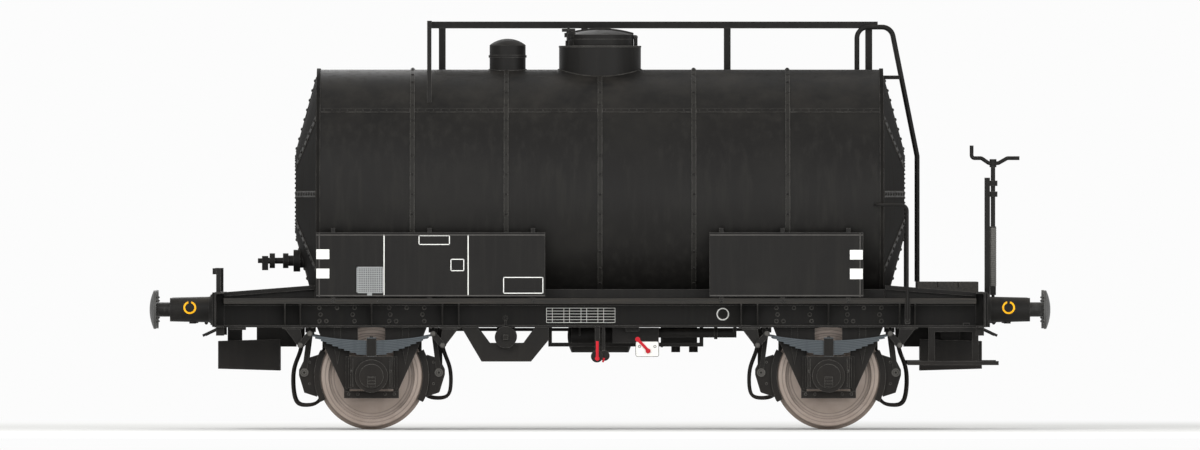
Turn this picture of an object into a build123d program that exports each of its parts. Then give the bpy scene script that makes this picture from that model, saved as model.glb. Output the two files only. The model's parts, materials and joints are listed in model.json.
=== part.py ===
from build123d import *
import math
import os

# Two-axle railway tank car with riveted conical tank ends, plain axlebox running gear and screw handbrake.
# Millimetres. X runs along the wagon, Y across it and Z up. The origin is at the middle of the wagon,
# level with the lowest point of the wheel flanges. The end at -X has the end outlet valve,
# the end at +X has the ladder, the platform and the handbrake.

# Wheels and axles
wheelbase = 4500
tread_r = 500
flange_h = 28
flange_w = 32
rim_w = 135
rim_t = 77
tyre_t = 44
tyre_step = 6
fillet_t = 24
fillet_rise = 12
web_ring_t = 28
web_ring_rise = 5
rim_gap = 1360
disc_t = 24
disc_dish = 38
hub_r = 135
hub_w = 178
seat_r = 95
axle_r = 82
journal_r = 65
journal_clear = 0.3
wheel_clear = 10

# Underframe
end_len = 906
sole_rise = 480
sole_h = 235
sole_gap = 1850
sole_web_t = 10
sole_flange_w = 90
sole_flange_t = 20
head_t = 91
head_over = 70
head_h = 347
head_web_t = 14
head_flange_t = 16
cross_w = 110
cross_t = 12
cross_inner_in = 850
cross_outer_out = 805
draft_gap = 260
draft_t = 14
middle_h = 66
middle_w = 70
plank_t = 50
plank_gap = 5
plank_inset = 10
rib_t = 12
rib_from_axle = (-860, -700, -2, 698, 850)

# Tank
tank_r = 1230
tank_sink = 153
barrel_len = 5512
rim_plate_t = 38
rim_lip = 12
cone_root = 65
cone_len = 208
disc_r = 401
strap_w = 62
strap_t = 8
strap_angles = (0, 50, 90, 130, 180, 230, 270, 310)
band_w = 44
band_t = 10
band_pitch = 924
bands_each_side = 2
seam_w = 47
seam_t = 6
seam_angle = 48

# Saddle bearers and end wedges
bearer_over = 6
bearer_h = 140
bearer_in = 310
wedge_drop = 69
wedge_h = 178
wedge_flange_t = 39
wedge_flange_w = 96
wedge_web_t = 20
wedge_gap = 8

# Manhole dome
dome_r = 404
dome_wall = 14
dome_rise = 235
manhole_r = 250
collar_r = 331
collar_h = 64
well_depth = 420
lid_edge_h = 46
lid_crown_h = 48
lid_strap_w = 50
lid_strap_t = 17
lid_block_w = 80
lid_block_h = 70
lid_gap = 2
hinge_pin_r = 11
hinge_clear = 0.3
lug_t = 24
lug_clear = 6
ear_t = 14
ear_wall = 8
hinge_x = 352
hinge_over = 20
clamp_angle = 147
clamp_r = 370
clamp_bolt_r = 11
clamp_clear = 8
clamp_lug_w = 60
clamp_lug_h = 42
clamp_lug_over = 20
clamp_bolt_up = 123
clamp_bolt_down = 56
clamp_wing_w = 132
clamp_wing_h = 30
clamp_wing_t = 12
clamp_hub_r = 22
clamp_ear_h = 50

# Vent dome
vent_x = -912
vent_r = 178
vent_shoulder_rise = 241
vent_top_rise = 305
vent_ring_rise = 118
vent_ring_h = 24
vent_ring_lip = 10

# Walkway, ladder and end platform
walk_rise = 412
walk_t = 55
walk_y0 = 430
walk_planks = 3
walk_plank_w = 150
walk_plank_gap = 10
walk_x0 = -1700
walk_end_in = 48
post_w = 66
post_t = 12
post_shares = (0.0313, 0.348, 0.6655, 0.9804)
hoop_in = 19
hoop_w = 43
hoop_t = 10
hoop_foot_rise = 904
stringer_r = 23
stringer_top_in = 252
stringer_far_out = 87
stringer_low_out = 343
stringer_knee_rise = 376
stringer_bend = 110
rung_r = 12
rung_pitch = 290
ladder_gap = 1
tie_h = 38
tie_t = 12
platform_rise = 163
platform_t = 53
platform_out = 330
platform_plank_w = 195
platform_plank_gap = 8
platform_planks = 3
platform_bar_t = 50

# Handbrake
brake_y = -450
brake_post_w = 54
brake_post_t = 60
brake_post_wall = 10
brake_post_h = 1474
spindle_r = 22
spindle_out = 84
spindle_h = 1577
screw_r = 31
screw_low = 404
screw_len = 589
clevis_h = 87
clevis_w = 58
clevis_t = 60
collar_out_h = 53
collar_wall = 22
collar_inset = 29
collar_pitch = 107
brake_rod_r = 16
brake_rod_low = 90
brake_lever_h = 44
crank_r = 19
crank_hub_r = 34
crank_hub_h = 80
crank_long = 261
crank_short = 211
crank_grip = 125
crank_bend = 30

# Grab rails
rail_r = 13
rail_in = 83
rail_out = 230
rail_rise = 972
rail_low = 61
rail_gap = 2
rail_bend = 60
rail_eye_r = 26
rail_eye_t = 14

# Axle guards and axleboxes
guard_t = 20
guard_top_half = 537
guard_knee_half = 458
guard_foot_half = 270
horn_half = 215
window_half = 134
guard_knee_over = 278
guard_foot_over = -130
guard_low_over = -218
horn_top_over = 342
keeper_h = 70
keeper_t = 14
box_half = 254
box_low = 129
box_high = 194
box_lip_t = 25
box_slot_gap = 5
box_front_y = 1052
cover_r = 161
cover_t = 34
boss_r = 118
boss_t = 14
oil_lid_w = 80
oil_lid_h = 100
oil_lid_t = 12
guide_t = 9
guide_inset = 30
guide_steps = 2

# Leaf springs, shackles and brackets
spring_y = 987
leaf_w = 90
leaf_t = 16
leaf_count = 9
leaf_half = 607
leaf_step = 58
leaf_camber = 60
leaf_edge = 2
buckle_w = 92
buckle_wall = 14
buckle_over = 28
eye_r = 26
pin_r = 15
pin_head_r = 24
pin_head_t = 10
shackle_w = 56
shackle_t = 14
shackle_dx = 93
shackle_drop = 113
bracket_out = 150
bracket_t = 22
bracket_foot_t = 16

# Buffers
buffer_gap = 1750
buffer_base_t = 25
buffer_base_w = 340
buffer_flare = 34
buffer_flare_r = 150
casing_len = 384
casing_r0 = 125
casing_r1 = 116
shank_r = 69
shank_out = 136
shank_in = 120
shank_clear = 0.5
head_r = 190
head_edge_t = 24
head_crown = 41
drain_r = 34
drain_dx = 194
drain_drop = 12

# Draw gear
hook_out = 330
hook_t = 56
hook_plate_w = 250
hook_plate_t = 20
hook_shank_h = 84
hook_throat_r = 40
hook_top = 96
hook_nose = 46
link_r = 17
link_gap = 82
link_drop = 150

# Brake blocks, hangers and loops
block_w = 84
block_t = 58
block_clear = 7
block_half_angle = 27
block_y = 764
holder_t = 30
beam_out = 163
beam_over = 34
beam_r = 26
hanger_w = 46
hanger_t = 14
hanger_lean = 56
hanger_gap = 28
hanger_bracket_h = 80
hanger_bracket_w = 90
loop_r = 16.5
loop_foot_over = 39
loop_over = 105
loop_under = 193
loop_low_outer = -258
loop_low_inner = -188
loop_top_over = 252
loop_mid_over = -21
loop_bend = 88

# Brake gear in the middle
reservoir_r = 165
reservoir_len = 641
reservoir_drop = 85
reservoir_y = -300
reservoir_dome = 40
reservoir_hanger_x = 200
reservoir_hanger_t = 12
cradle_x0 = -510
cradle_in = 381
cradle_drop = 156
cradle_h = 35
cradle_w = 50
cradle_y = 560
cylinder_r = 100
cylinder_len = 360
cylinder_in = 239
cylinder_y = 310
cylinder_drop = 90
cylinder_flange_t = 22
cylinder_flange_lip = 12
plug_dx = (-32, 143)
plug_r = 44
plug_drop = 72
plug_h = 88
pull_rod_r = 16
pull_rod_drop = 25
pull_rod_y = 130
lever_w = 60
lever_t = 20
lever_over = 40
relay_x0 = 125
relay_x1 = 578
relay_y0 = -840
relay_w = 260
relay_foot = 4
pipe_r = 46
pipe_y = -640
pipe_drop = 56
pipe_flange_in = 276
pipe_flange_t = 33
pipe_flange_r = 62
release_x = -27
release_w = 27
release_t = 8
release_h = 171
release_drop = 136
release_y = -1040
release_bulb_r = 22
changer_lever_w = 28
changer_lever_len = 150
changer_turn = 47
changer_x = 371
changer_drop = 118
changer_pivot_r = 24

# Side outlets and their guards
outlet_in = 1321
outlet_cap_r = 107
outlet_cap_t = 50
outlet_pipe_r = 50
outlet_flange_r = 90
outlet_flange_t = 18
outlet_gap = 5
outlet_drop = 97
outlet_nut = 46
outlet_nut_t = 30
tray_t = 10
tray_y = 1000
tray_out_dx = (-436, -237, 250, 423)
tray_out_drop = (0, 337, 337, 126)
tray_in_dx = (-279, -161, 170, 287)
tray_in_drop = 159

# End outlet valve
valve_over = -657
valve_root_r = 70
valve_reach = 166
valve_flange_r = 108
valve_flange_t = 66
valve_neck_r = 52
valve_neck_len = 50
valve_mid_r = 74
valve_mid_t = 54
valve_pipe_r = 30
valve_pipe_len = 79
valve_tail_t = 53
valve_tail_gap = 14
valve_cap_w = 61
valve_cap_h = 141
valve_cap_low = 94
valve_knob_r = 24
valve_knob_len = 41

# Equipment boxes, steps and small fittings
chest_gap = 100
chest_inset = 25
chest_h = 308
chest_drop = 120
chest_w = 900
chest_taper = 18
chest_bar_shares = ((0, 0.38), (0.62, 0.85))
chest_plate_w = 159
chest_plate_h = 193
step_in = 676
step_out = 131
step_t = 40
step_w = 230
step_drop = 331
step_hanger_w = 62
step_hanger_t = 14
step_hanger_in = (436, 6)
step_bar_h = 43
handle_block_w = 80
handle_block_h = 81
handle_block_y = 1180
handle_r = 13
handle_out = 118
handle_fall = 69
lamp_w = 45
lamp_t = 14
lamp_h = 235
lamp_out = 35
lamp_fork_h = 60
lamp_y = 1180
lamp_inset = 31

# Boards on the sides
board_t = 6
board_gap = 22
board_rise = 15
board_h = 635
board_left_x0 = -2793
board_left_x1 = -540
board_right_x0 = 1077
board_right_x1 = 2589
board_hook_w = 40
board_hook_h = 42
board_hook_t = 8
board_left_hooks = (-2625, -1676, -659)
board_right_hooks = (1193, 1796, 2443)
plate_x = 465
plate_w = 232
plate_h = 154
plate_t = 5
plate_corner = 22
plate_drop = 136

# Levels and faces worked out from the sizes above
axle_x = wheelbase / 2
axle_z = tread_r + flange_h
sole_z0 = axle_z + sole_rise
sole_z1 = sole_z0 + sole_h
web_y = sole_gap / 2
web_y1 = web_y + sole_web_t
sole_y1 = web_y + sole_flange_w
barrel_x = barrel_len / 2
rim_x = barrel_x + rim_plate_t
tank_end_x = rim_x + cone_len
frame_x = rim_x + end_len
head_x = frame_x + head_t
head_w = 2 * (tank_r + head_over)
head_z1 = sole_z0 + head_h
head_mid_z = sole_z0 + head_h / 2
plank_z1 = sole_z1 + plank_t
plank_y0 = sole_y1 + plank_gap
plank_y1 = head_w / 2 - plank_inset
cross_inner_x = axle_x - cross_inner_in
cross_outer_x = axle_x + cross_outer_out
bearer_x = rim_x + bearer_over
tank_z = sole_z1 + tank_r - tank_sink
tank_top = tank_z + tank_r
walk_x1 = rim_x - walk_end_in
hoop_x = walk_x0 + hoop_in
stringer_top_x = rim_x - stringer_top_in
stringer_far_x = rim_x + stringer_far_out
stringer_low_x = rim_x + stringer_low_out
platform_x0 = rim_x + platform_out
outlet_x = outlet_in - axle_x
cradle_x1 = cross_inner_x - cradle_in
cylinder_x = cradle_x1 - cylinder_in
beam_dx = tread_r + beam_out
hanger_top_dx = beam_dx - hanger_lean
loop_foot_out = beam_dx + loop_foot_over
loop_out = beam_dx + loop_over
loop_far_out = beam_dx - loop_under
board_y = tank_r + board_gap
overrun = tank_r


# Helpers that make plain shapes

def block(x0, x1, y0, y1, z0, z1):
    """Box between two corners."""
    centre = ((x0 + x1) / 2, (y0 + y1) / 2, (z0 + z1) / 2)
    return Pos(*centre) * Box(x1 - x0, y1 - y0, z1 - z0)


def rod(start, end, radius):
    """Straight round bar from one point to another."""
    line = Line(start, end)
    return extrude(Plane(origin=line @ 0, z_dir=line % 0) * Circle(radius), amount=line.length)


def bent_bar(points, radius, bend):
    """Round bar along straight runs joined by arcs."""
    path = FilletPolyline(*points, radius=bend)
    return sweep(Plane(origin=path @ 0, z_dir=path % 0) * Circle(radius), path=path)


def side_plate(outline, y0, y1):
    """Plate with an (x, z) outline, thick along Y."""
    face = make_face(Polyline(*[(x, y0, z) for x, z in outline], close=True))
    return extrude(face, amount=y1 - y0, dir=(0, 1, 0))


def cross_plate(outline, x0, x1):
    """Plate with a (y, z) outline, thick along X."""
    face = make_face(Polyline(*[(x0, y, z) for y, z in outline], close=True))
    return extrude(face, amount=x1 - x0, dir=(1, 0, 0))


def turned_x(profile, y, z):
    """Body turned about a line along X, from (x, radius) points."""
    face = make_face(Polyline(*[(x, y, z + r) for x, r in profile], close=True))
    return revolve(face, Axis((0, y, z), (1, 0, 0)))


def turned_y(profile, x, z):
    """Body turned about a line along Y, from (y, radius) points."""
    face = make_face(Polyline(*[(x, y, z + r) for y, r in profile], close=True))
    return revolve(face, Axis((x, 0, z), (0, 1, 0)))


def turned_z(profile, x, y):
    """Body turned about a line along Z, from (radius, z) points."""
    face = make_face(Polyline(*[(x + r, y, z) for r, z in profile], close=True))
    return revolve(face, Axis((x, y, 0), (0, 0, 1)))


def crown_rise(radius, rise, place):
    """Height of a spherical crown over its edge, at a distance from its middle."""
    ball = (radius ** 2 + rise ** 2) / (2 * rise)
    return rise - ball + math.sqrt(ball ** 2 - place ** 2)


def across(shapes):
    """The shapes and their mirror images on the other side."""
    return list(shapes) + [mirror(shape, about=Plane.XZ) for shape in shapes]


def along(shapes):
    """The shapes and their mirror images at the other end."""
    return list(shapes) + [mirror(shape, about=Plane.YZ) for shape in shapes]


def everywhere(shapes):
    """The shapes at both sides of both ends."""
    return along(across(shapes))


# Underframe

def solebars():
    """Two long channels with their flanges outward."""
    outline = (
        (web_y, sole_z0), (sole_y1, sole_z0), (sole_y1, sole_z0 + sole_flange_t),
        (web_y1, sole_z0 + sole_flange_t), (web_y1, sole_z1 - sole_flange_t),
        (sole_y1, sole_z1 - sole_flange_t), (sole_y1, sole_z1), (web_y, sole_z1),
    )
    return across([cross_plate(outline, -frame_x, frame_x)])


def headstocks():
    """End beams, channels with the open side inward."""
    inner = head_x - head_web_t
    outline = (
        (head_x, sole_z0), (head_x, head_z1), (frame_x, head_z1), (frame_x, head_z1 - head_flange_t),
        (inner, head_z1 - head_flange_t), (inner, sole_z0 + head_flange_t),
        (frame_x, sole_z0 + head_flange_t), (frame_x, sole_z0),
    )
    return along([side_plate(outline, -head_w / 2, head_w / 2)])


def space_round_tank():
    """Round space that the tank and its bands take up over the frame."""
    return Pos(0, 0, tank_z) * Rot(0, 90, 0) * Cylinder(tank_r + band_t + plank_gap, 2 * rim_x)


def cross_members():
    """I-section beams between the solebars, hollowed where the tank hangs over them."""
    beams = []
    tank_space = space_round_tank()
    for x in (cross_inner_x, cross_outer_x):
        x0, x1 = x - cross_w / 2, x + cross_w / 2
        web = block(x - cross_t / 2, x + cross_t / 2, -web_y, web_y, sole_z0, sole_z1)
        top = block(x0, x1, -web_y, web_y, sole_z1 - cross_t, sole_z1)
        foot = block(x0, x1, -web_y, web_y, sole_z0, sole_z0 + cross_t)
        beam = web + top + foot
        if x < tank_end_x:
            beam = beam - tank_space
        beams.append(beam)
    return along(beams)


def draft_sills():
    """Short channels that take the pull of the draw hook back to the outer cross-member."""
    y0 = draft_gap / 2
    x0 = cross_outer_x + cross_w / 2
    outline = (
        (y0, sole_z0), (y0 + middle_w, sole_z0), (y0 + middle_w, sole_z0 + draft_t),
        (y0 + draft_t, sole_z0 + draft_t), (y0 + draft_t, sole_z1 - draft_t),
        (y0 + middle_w, sole_z1 - draft_t), (y0 + middle_w, sole_z1), (y0, sole_z1),
    )
    return everywhere([cross_plate(outline, x0, frame_x) - space_round_tank()])


def middle_sills():
    """Low channels under the tank, between the cross-members."""
    y0 = cradle_y - middle_w
    z1 = sole_z0 + middle_h
    outline = (
        (y0, sole_z0), (cradle_y, sole_z0), (cradle_y, sole_z0 + cross_t),
        (y0 + cross_t, sole_z0 + cross_t), (y0 + cross_t, z1 - cross_t), (cradle_y, z1 - cross_t),
        (cradle_y, z1), (y0, z1),
    )
    x1 = cross_inner_x - cross_w / 2
    inner = across([cross_plate(outline, -x1, x1)])
    x2 = cross_inner_x + cross_w / 2
    x3 = cross_outer_x - cross_w / 2
    outer = everywhere([cross_plate(outline, x2, x3)])
    return inner + outer


def side_ribs():
    """Gussets in the solebar channels that carry the side planks."""
    shelf_y = plank_y1 - plank_inset
    outline = (
        (web_y1, sole_z0 + sole_flange_t), (sole_y1, sole_z0 + sole_flange_t), (shelf_y, sole_z1 - rib_t),
        (shelf_y, sole_z1), (sole_y1, sole_z1), (sole_y1, sole_z1 - sole_flange_t),
        (web_y1, sole_z1 - sole_flange_t),
    )
    places = [axle_x + place for place in rib_from_axle]
    ribs = [cross_plate(outline, x - rib_t / 2, x + rib_t / 2) for x in places]
    return everywhere(ribs)


def side_planks():
    """Planks along both sides, level with the top of the solebars."""
    return across([block(-frame_x, frame_x, plank_y0, plank_y1, sole_z1, plank_z1)])


def saddle_bearers():
    """Long bearers over the solebars, their tops shaped to the tank."""
    y1 = sole_y1 - plank_gap
    bar = block(-bearer_x, bearer_x, y1 - bearer_in, y1, sole_z1, sole_z1 + bearer_h)
    bar = bar - Pos(0, 0, tank_z) * Rot(0, 90, 0) * Cylinder(tank_r, 2 * frame_x)
    for x in band_places():
        groove = Cylinder(tank_r + band_t + plank_gap, band_w + 2 * plank_gap)
        bar = bar - Pos(x, 0, tank_z) * Rot(0, 90, 0) * groove
    rim_space = Cylinder(tank_r + rim_lip + plank_gap, rim_plate_t + 2 * plank_gap)
    for x in (-barrel_x - rim_plate_t / 2, barrel_x + rim_plate_t / 2):
        bar = bar - Pos(x, 0, tank_z) * Rot(0, 90, 0) * rim_space
    return across([bar])


def end_wedges():
    """Tapered T-section stays from the ends of the bearers down to the headstocks."""
    x0 = bearer_x + wedge_gap
    z0 = sole_z1 + wedge_h
    z1 = z0 - wedge_drop
    y1 = sole_y1 - plank_gap
    y0 = y1 - wedge_flange_w
    mid = (y0 + y1) / 2
    flange = side_plate(
        ((x0, z0 - wedge_flange_t), (x0, z0), (frame_x, z1), (frame_x, z1 - wedge_flange_t)), y0, y1)
    web = side_plate(
        ((x0, sole_z1), (x0, z0 - wedge_flange_t), (frame_x, z1 - wedge_flange_t), (frame_x, sole_z1)),
        mid - wedge_web_t / 2, mid + wedge_web_t / 2)
    return everywhere([flange + web])


# Tank

def band_places():
    """Where the ring bands sit along the barrel."""
    return [band_pitch * step for step in range(-bands_each_side, bands_each_side + 1)]


def lap_seam(breaks):
    """Riveted lap strap along the barrel at its top, open at the breaks."""
    strap = block(-barrel_x, barrel_x, -seam_w / 2, seam_w / 2, tank_r - seam_t, tank_r + seam_t)
    strap = strap & (Rot(0, 90, 0) * Cylinder(tank_r + seam_t, barrel_len))
    for x, gap in breaks:
        strap = strap - block(x - gap, x + gap, -seam_w, seam_w, 0, tank_r + seam_w)
    return strap


def tank_barrel():
    """Barrel with its riveted lap seams, and the well under the manhole."""
    barrel = Rot(0, 90, 0) * Cylinder(tank_r, barrel_len)
    breaks = [(x, band_w / 2 + leaf_edge) for x in band_places()]
    barrel = barrel + Rot(seam_angle, 0, 0) * lap_seam(breaks)
    breaks.append((stringer_top_x, 2 * stringer_r))
    barrel = barrel + Rot(-seam_angle, 0, 0) * lap_seam(breaks)
    well_z = tank_r - well_depth
    well = Pos(0, 0, well_z + overrun) * Cylinder(manhole_r, 2 * overrun)
    return [Pos(0, 0, tank_z) * (barrel - well)]


def tank_ends():
    """Flanged rims with conical ends that finish in a flat disc."""
    profile = (
        (barrel_x, 0), (barrel_x, tank_r + rim_lip), (rim_x, tank_r + rim_lip),
        (rim_x, tank_r - cone_root), (tank_end_x, disc_r), (tank_end_x, 0),
    )
    end = turned_x(profile, 0, 0)
    root = tank_r - cone_root
    profile = ((rim_x, 0), (rim_x, root + strap_t), (tank_end_x, disc_r + strap_t), (tank_end_x, 0))
    cover = turned_x(profile, 0, 0)
    low = disc_r + 2 * strap_t
    strap = cover & block(rim_x, tank_end_x, -strap_w / 2, strap_w / 2, low, tank_r)
    for turn in strap_angles:
        end = end + Rot(turn, 0, 0) * strap
    return along([Pos(0, 0, tank_z) * end])


def tank_bands():
    """Ring bands over the joints between the barrel's plates."""
    bands = []
    for x in band_places():
        profile = (
            (x - band_w / 2, tank_r), (x - band_w / 2, tank_r + band_t),
            (x + band_w / 2, tank_r + band_t), (x + band_w / 2, tank_r),
        )
        bands.append(turned_x(profile, 0, tank_z))
    fittings = (
        # x, radius, level
        (0, dome_r, tank_top), (vent_x, vent_r, tank_top), (outlet_x, outlet_flange_r, tank_z - tank_r),
    )
    cut = []
    for x, band in zip(band_places(), bands):
        for place, radius, level in fittings:
            if abs(x - place) < radius:
                band = band - Pos(place, 0, level) * Cylinder(radius + lid_gap, tank_r)
        cut.append(band)
    return cut


def seated_on_tank(shape):
    """A fitting cut to the curve of the tank it stands on."""
    return shape - Pos(0, 0, tank_z) * Rot(0, 90, 0) * Cylinder(tank_r, barrel_len + rim_plate_t)


def manhole_dome():
    """Riveted dome with a top plate and the collar that the lid closes."""
    top = tank_top + dome_rise
    foot = tank_z + math.sqrt(tank_r ** 2 - dome_r ** 2) - dome_wall
    inner = dome_r - dome_wall
    profile = (
        (dome_r, foot), (dome_r, top), (collar_r, top), (collar_r, top + collar_h),
        (manhole_r, top + collar_h), (manhole_r, top - dome_wall), (inner, top - dome_wall), (inner, foot),
    )
    return [seated_on_tank(turned_z(profile, 0, 0))]


def vent_dome():
    """Small domed vent with a ring round it."""
    foot = tank_z + math.sqrt(tank_r ** 2 - vent_r ** 2) - dome_wall
    ring0 = tank_top + vent_ring_rise
    shoulder = tank_top + vent_shoulder_rise
    crown = tank_top + vent_top_rise
    ring_r = vent_r + vent_ring_lip
    wall = Polyline(
        (0, 0, crown), (0, 0, foot), (vent_r, 0, foot), (vent_r, 0, ring0), (ring_r, 0, ring0),
        (ring_r, 0, ring0 + vent_ring_h), (vent_r, 0, ring0 + vent_ring_h), (vent_r, 0, shoulder))
    half = vent_r / 2
    arc = ThreePointArc(
        (vent_r, 0, shoulder), (half, 0, shoulder + crown_rise(vent_r, crown - shoulder, half)), (0, 0, crown))
    vent = revolve(make_face(wall + arc), Axis.Z)
    return [seated_on_tank(Pos(vent_x, 0, 0) * vent)]


def hinge_z():
    """Height of the lid's hinge pin."""
    return tank_top + dome_rise + collar_h + hinge_over


def lid_seat_z():
    """Underside of the closed lid."""
    return tank_top + dome_rise + collar_h + journal_clear


def manhole_lid():
    """Crowned lid with its hinge eye and a hold-down lug opposite."""
    z0 = lid_seat_z()
    edge = z0 + lid_edge_h
    crown = edge + lid_crown_h
    wall = Polyline((0, 0, crown), (0, 0, z0), (collar_r, 0, z0), (collar_r, 0, edge))
    half = collar_r / 2
    arc = ThreePointArc(
        (collar_r, 0, edge), (half, 0, edge + crown_rise(collar_r, lid_crown_h, half)), (0, 0, crown))
    lid = revolve(make_face(wall + arc), Axis.Z)
    eye_r_out = hinge_pin_r + collar_wall / 2
    reach = collar_r - lug_t
    lug = block(reach, hinge_x, -lug_t, lug_t, z0 + lid_gap, hinge_z() + eye_r_out)
    knuckle = rod((hinge_x, -lug_t, hinge_z()), (hinge_x, lug_t, hinge_z()), eye_r_out)
    pin_hole = rod((hinge_x, -overrun, hinge_z()), (hinge_x, overrun, hinge_z()), hinge_pin_r + hinge_clear)
    ball = (collar_r ** 2 + lid_crown_h ** 2) / (2 * lid_crown_h)
    dome = rod((0, -lid_strap_w / 2, crown - ball), (0, lid_strap_w / 2, crown - ball), ball + lid_strap_t)
    strap = dome & block(-collar_r, collar_r, -lid_strap_w, lid_strap_w, z0, crown + lid_block_h)
    boss = block(-lid_block_w / 2, lid_block_w / 2, -lid_strap_w, lid_strap_w,
                 crown + lid_strap_t - lid_block_h, crown + lid_strap_t)
    return [lid + strap + boss + lug + knuckle - pin_hole]


def clamp_places():
    """Centres of the hold-down bolts round the lid."""
    turn = math.radians(clamp_angle)
    x, y = clamp_r * math.cos(turn), clamp_r * math.sin(turn)
    return [(x, side * y, side * clamp_angle) for side in (-1, 1)]


def lid_with_clamp_lugs():
    """The lid with the lugs that its hold-down bolts pass through."""
    lid = manhole_lid()[0]
    z0 = lid_seat_z() + clamp_lug_over
    for x, y, turn in clamp_places():
        reach = clamp_r + clamp_lug_w / 2
        lug = block(collar_r - lug_t, reach, -clamp_lug_w / 2, clamp_lug_w / 2, z0, z0 + clamp_lug_h)
        lid = lid + Rot(0, 0, turn) * lug
        hole = rod((x, y, z0 - overrun), (x, y, z0 + overrun), clamp_bolt_r + shank_clear)
        lid = lid - hole
    return [lid]


def lid_bolts():
    """Hold-down bolts with their wing nuts, carried by the lid."""
    bolts = []
    seat = lid_seat_z() + clamp_lug_over + clamp_lug_h
    top = lid_seat_z() + clamp_bolt_up
    low = lid_seat_z() - clamp_bolt_down
    for x, y, turn in clamp_places():
        shank = rod((x, y, low), (x, y, top), clamp_bolt_r)
        hub = rod((x, y, seat), (x, y, seat + clamp_wing_h), clamp_hub_r)
        wing = block(-clamp_wing_w / 2, clamp_wing_w / 2, -clamp_wing_t / 2, clamp_wing_t / 2,
                     seat + clamp_wing_t, seat + clamp_wing_h + clamp_wing_t)
        bolts.append(shank + hub + Pos(x, y, 0) * wing)
    return bolts


def dome_fittings():
    """Hinge ears with their pin, and the forked lugs that the hold-down bolts drop into."""
    top = tank_top + dome_rise
    out_r = hinge_pin_r + ear_wall
    y0 = lug_t + lug_clear
    ears = []
    for side in (-1, 1):
        y_in, y_out = side * y0, side * (y0 + ear_t)
        low, high = min(y_in, y_out), max(y_in, y_out)
        ear = block(hinge_x - out_r, hinge_x + out_r, low, high, top, hinge_z())
        ears.append(ear + rod((hinge_x, low, hinge_z()), (hinge_x, high, hinge_z()), out_r))
    pin_y = y0 + ear_t + ear_wall
    pin = rod((hinge_x, -pin_y, hinge_z()), (hinge_x, pin_y, hinge_z()), hinge_pin_r)
    parts = [ears[0] + ears[1] + pin]
    gap = clamp_bolt_r + clamp_clear
    for x, y, turn in clamp_places():
        for side in (-1, 1):
            low, high = sorted((side * gap, side * (gap + ear_t)))
            ear = block(collar_r, clamp_r + clamp_lug_w / 2 - ear_t, low, high, top, top + clamp_ear_h)
            parts.append(Rot(0, 0, turn) * ear)
    return parts


# Walkway, ladder and end platform

def walkway_planks():
    """Top planks beside the dome."""
    z0 = tank_top + walk_rise
    planks = []
    for step in range(walk_planks):
        y0 = walk_y0 + step * (walk_plank_w + walk_plank_gap)
        planks.append(block(walk_x0, walk_x1, y0, y0 + walk_plank_w, z0 + post_t, z0 + walk_t))
    return planks


def walk_width():
    """Width of the walkway over all its planks."""
    return walk_planks * walk_plank_w + (walk_planks - 1) * walk_plank_gap


def walkway_posts():
    """Flat trestles from the tank up to the planks."""
    z1 = tank_top + walk_rise + post_t
    y0, y1 = walk_y0 + post_t, walk_y0 + walk_width() - post_t
    trestles = []
    for share in post_shares:
        x = walk_x0 + share * (walk_x1 - walk_x0)
        x0, x1 = x - post_w / 2, x + post_w / 2
        bar = block(x0, x1, walk_y0, walk_y0 + walk_width(), z1 - post_t, z1)
        near = block(x0, x1, y0, y0 + post_t, tank_z, z1)
        far = block(x0, x1, y1 - post_t, y1, tank_z, z1)
        trestles.append(seated_on_tank(bar + near + far))
    return trestles


def walkway_hoop():
    """Flat bar from the near side of the tank up over the valve end of the walkway."""
    x0, x1 = hoop_x - hoop_w / 2, hoop_x + hoop_w / 2
    top = tank_top + walk_rise + walk_t + hoop_t
    foot = tank_z + hoop_foot_rise
    foot_y = math.sqrt(tank_r ** 2 - hoop_foot_rise ** 2)
    leg = block(x0, x1, -foot_y - hoop_t, -foot_y, foot, top)
    bar = block(x0, x1, -foot_y - hoop_t, walk_y0 + walk_width(), top - hoop_t, top)
    return [leg + bar]


def stringer_places():
    """Sideways places of the two ladder stringers."""
    reach = stringer_r + ladder_gap
    return (walk_y0 - reach, walk_y0 + walk_width() + reach)


def stringer_levels():
    """Heights of the ladder's top run, knee and foot."""
    return tank_top + walk_rise + stringer_r / 2, tank_z + stringer_knee_rise, plank_z1 + platform_rise


def ladder():
    """Two bent stringers with rungs, from the tank's top over the edge to the platform."""
    top, knee, foot = stringer_levels()
    near, far = stringer_places()
    rails = []
    for y in (near, far):
        base = tank_z + math.sqrt(tank_r ** 2 - y ** 2) - 2 * stringer_r
        points = (
            (stringer_top_x, y, base), (stringer_top_x, y, top), (stringer_far_x, y, top),
            (stringer_low_x, y, knee), (stringer_low_x, y, foot),
        )
        rails.append(bent_bar(points, stringer_r, stringer_bend))
    frame = rails[0] + rails[1]
    slope = (stringer_low_x - stringer_far_x) / (top - knee)
    count = int((top - stringer_bend - foot) / rung_pitch)
    for step in range(1, count + 1):
        z = foot + step * rung_pitch
        x = stringer_low_x if z < knee else stringer_low_x - (z - knee) * slope
        frame = frame + rod((x, near, z), (x, far, z), rung_r)
    return [seated_on_tank(frame + ladder_tie())]


def ladder_tie():
    """Short bar that holds the upper ladder to the tank's rim."""
    near, far = stringer_places()
    z = tank_z + math.sqrt((tank_r + rim_lip) ** 2 - near ** 2) - tie_h / 2
    top, knee, foot = stringer_levels()
    reach = stringer_far_x + (stringer_low_x - stringer_far_x) * (top - z) / (top - knee)
    bar = block(rim_x - rim_plate_t, reach, near - tie_t, near, z - tie_h / 2, z + tie_h / 2)
    rim = Pos(0, 0, tank_z) * Rot(0, 90, 0) * Cylinder(tank_r + rim_lip, 2 * rim_x)
    return bar - rim


def platform_level():
    """Height of the end platform's walking surface."""
    return plank_z1 + platform_rise


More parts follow.
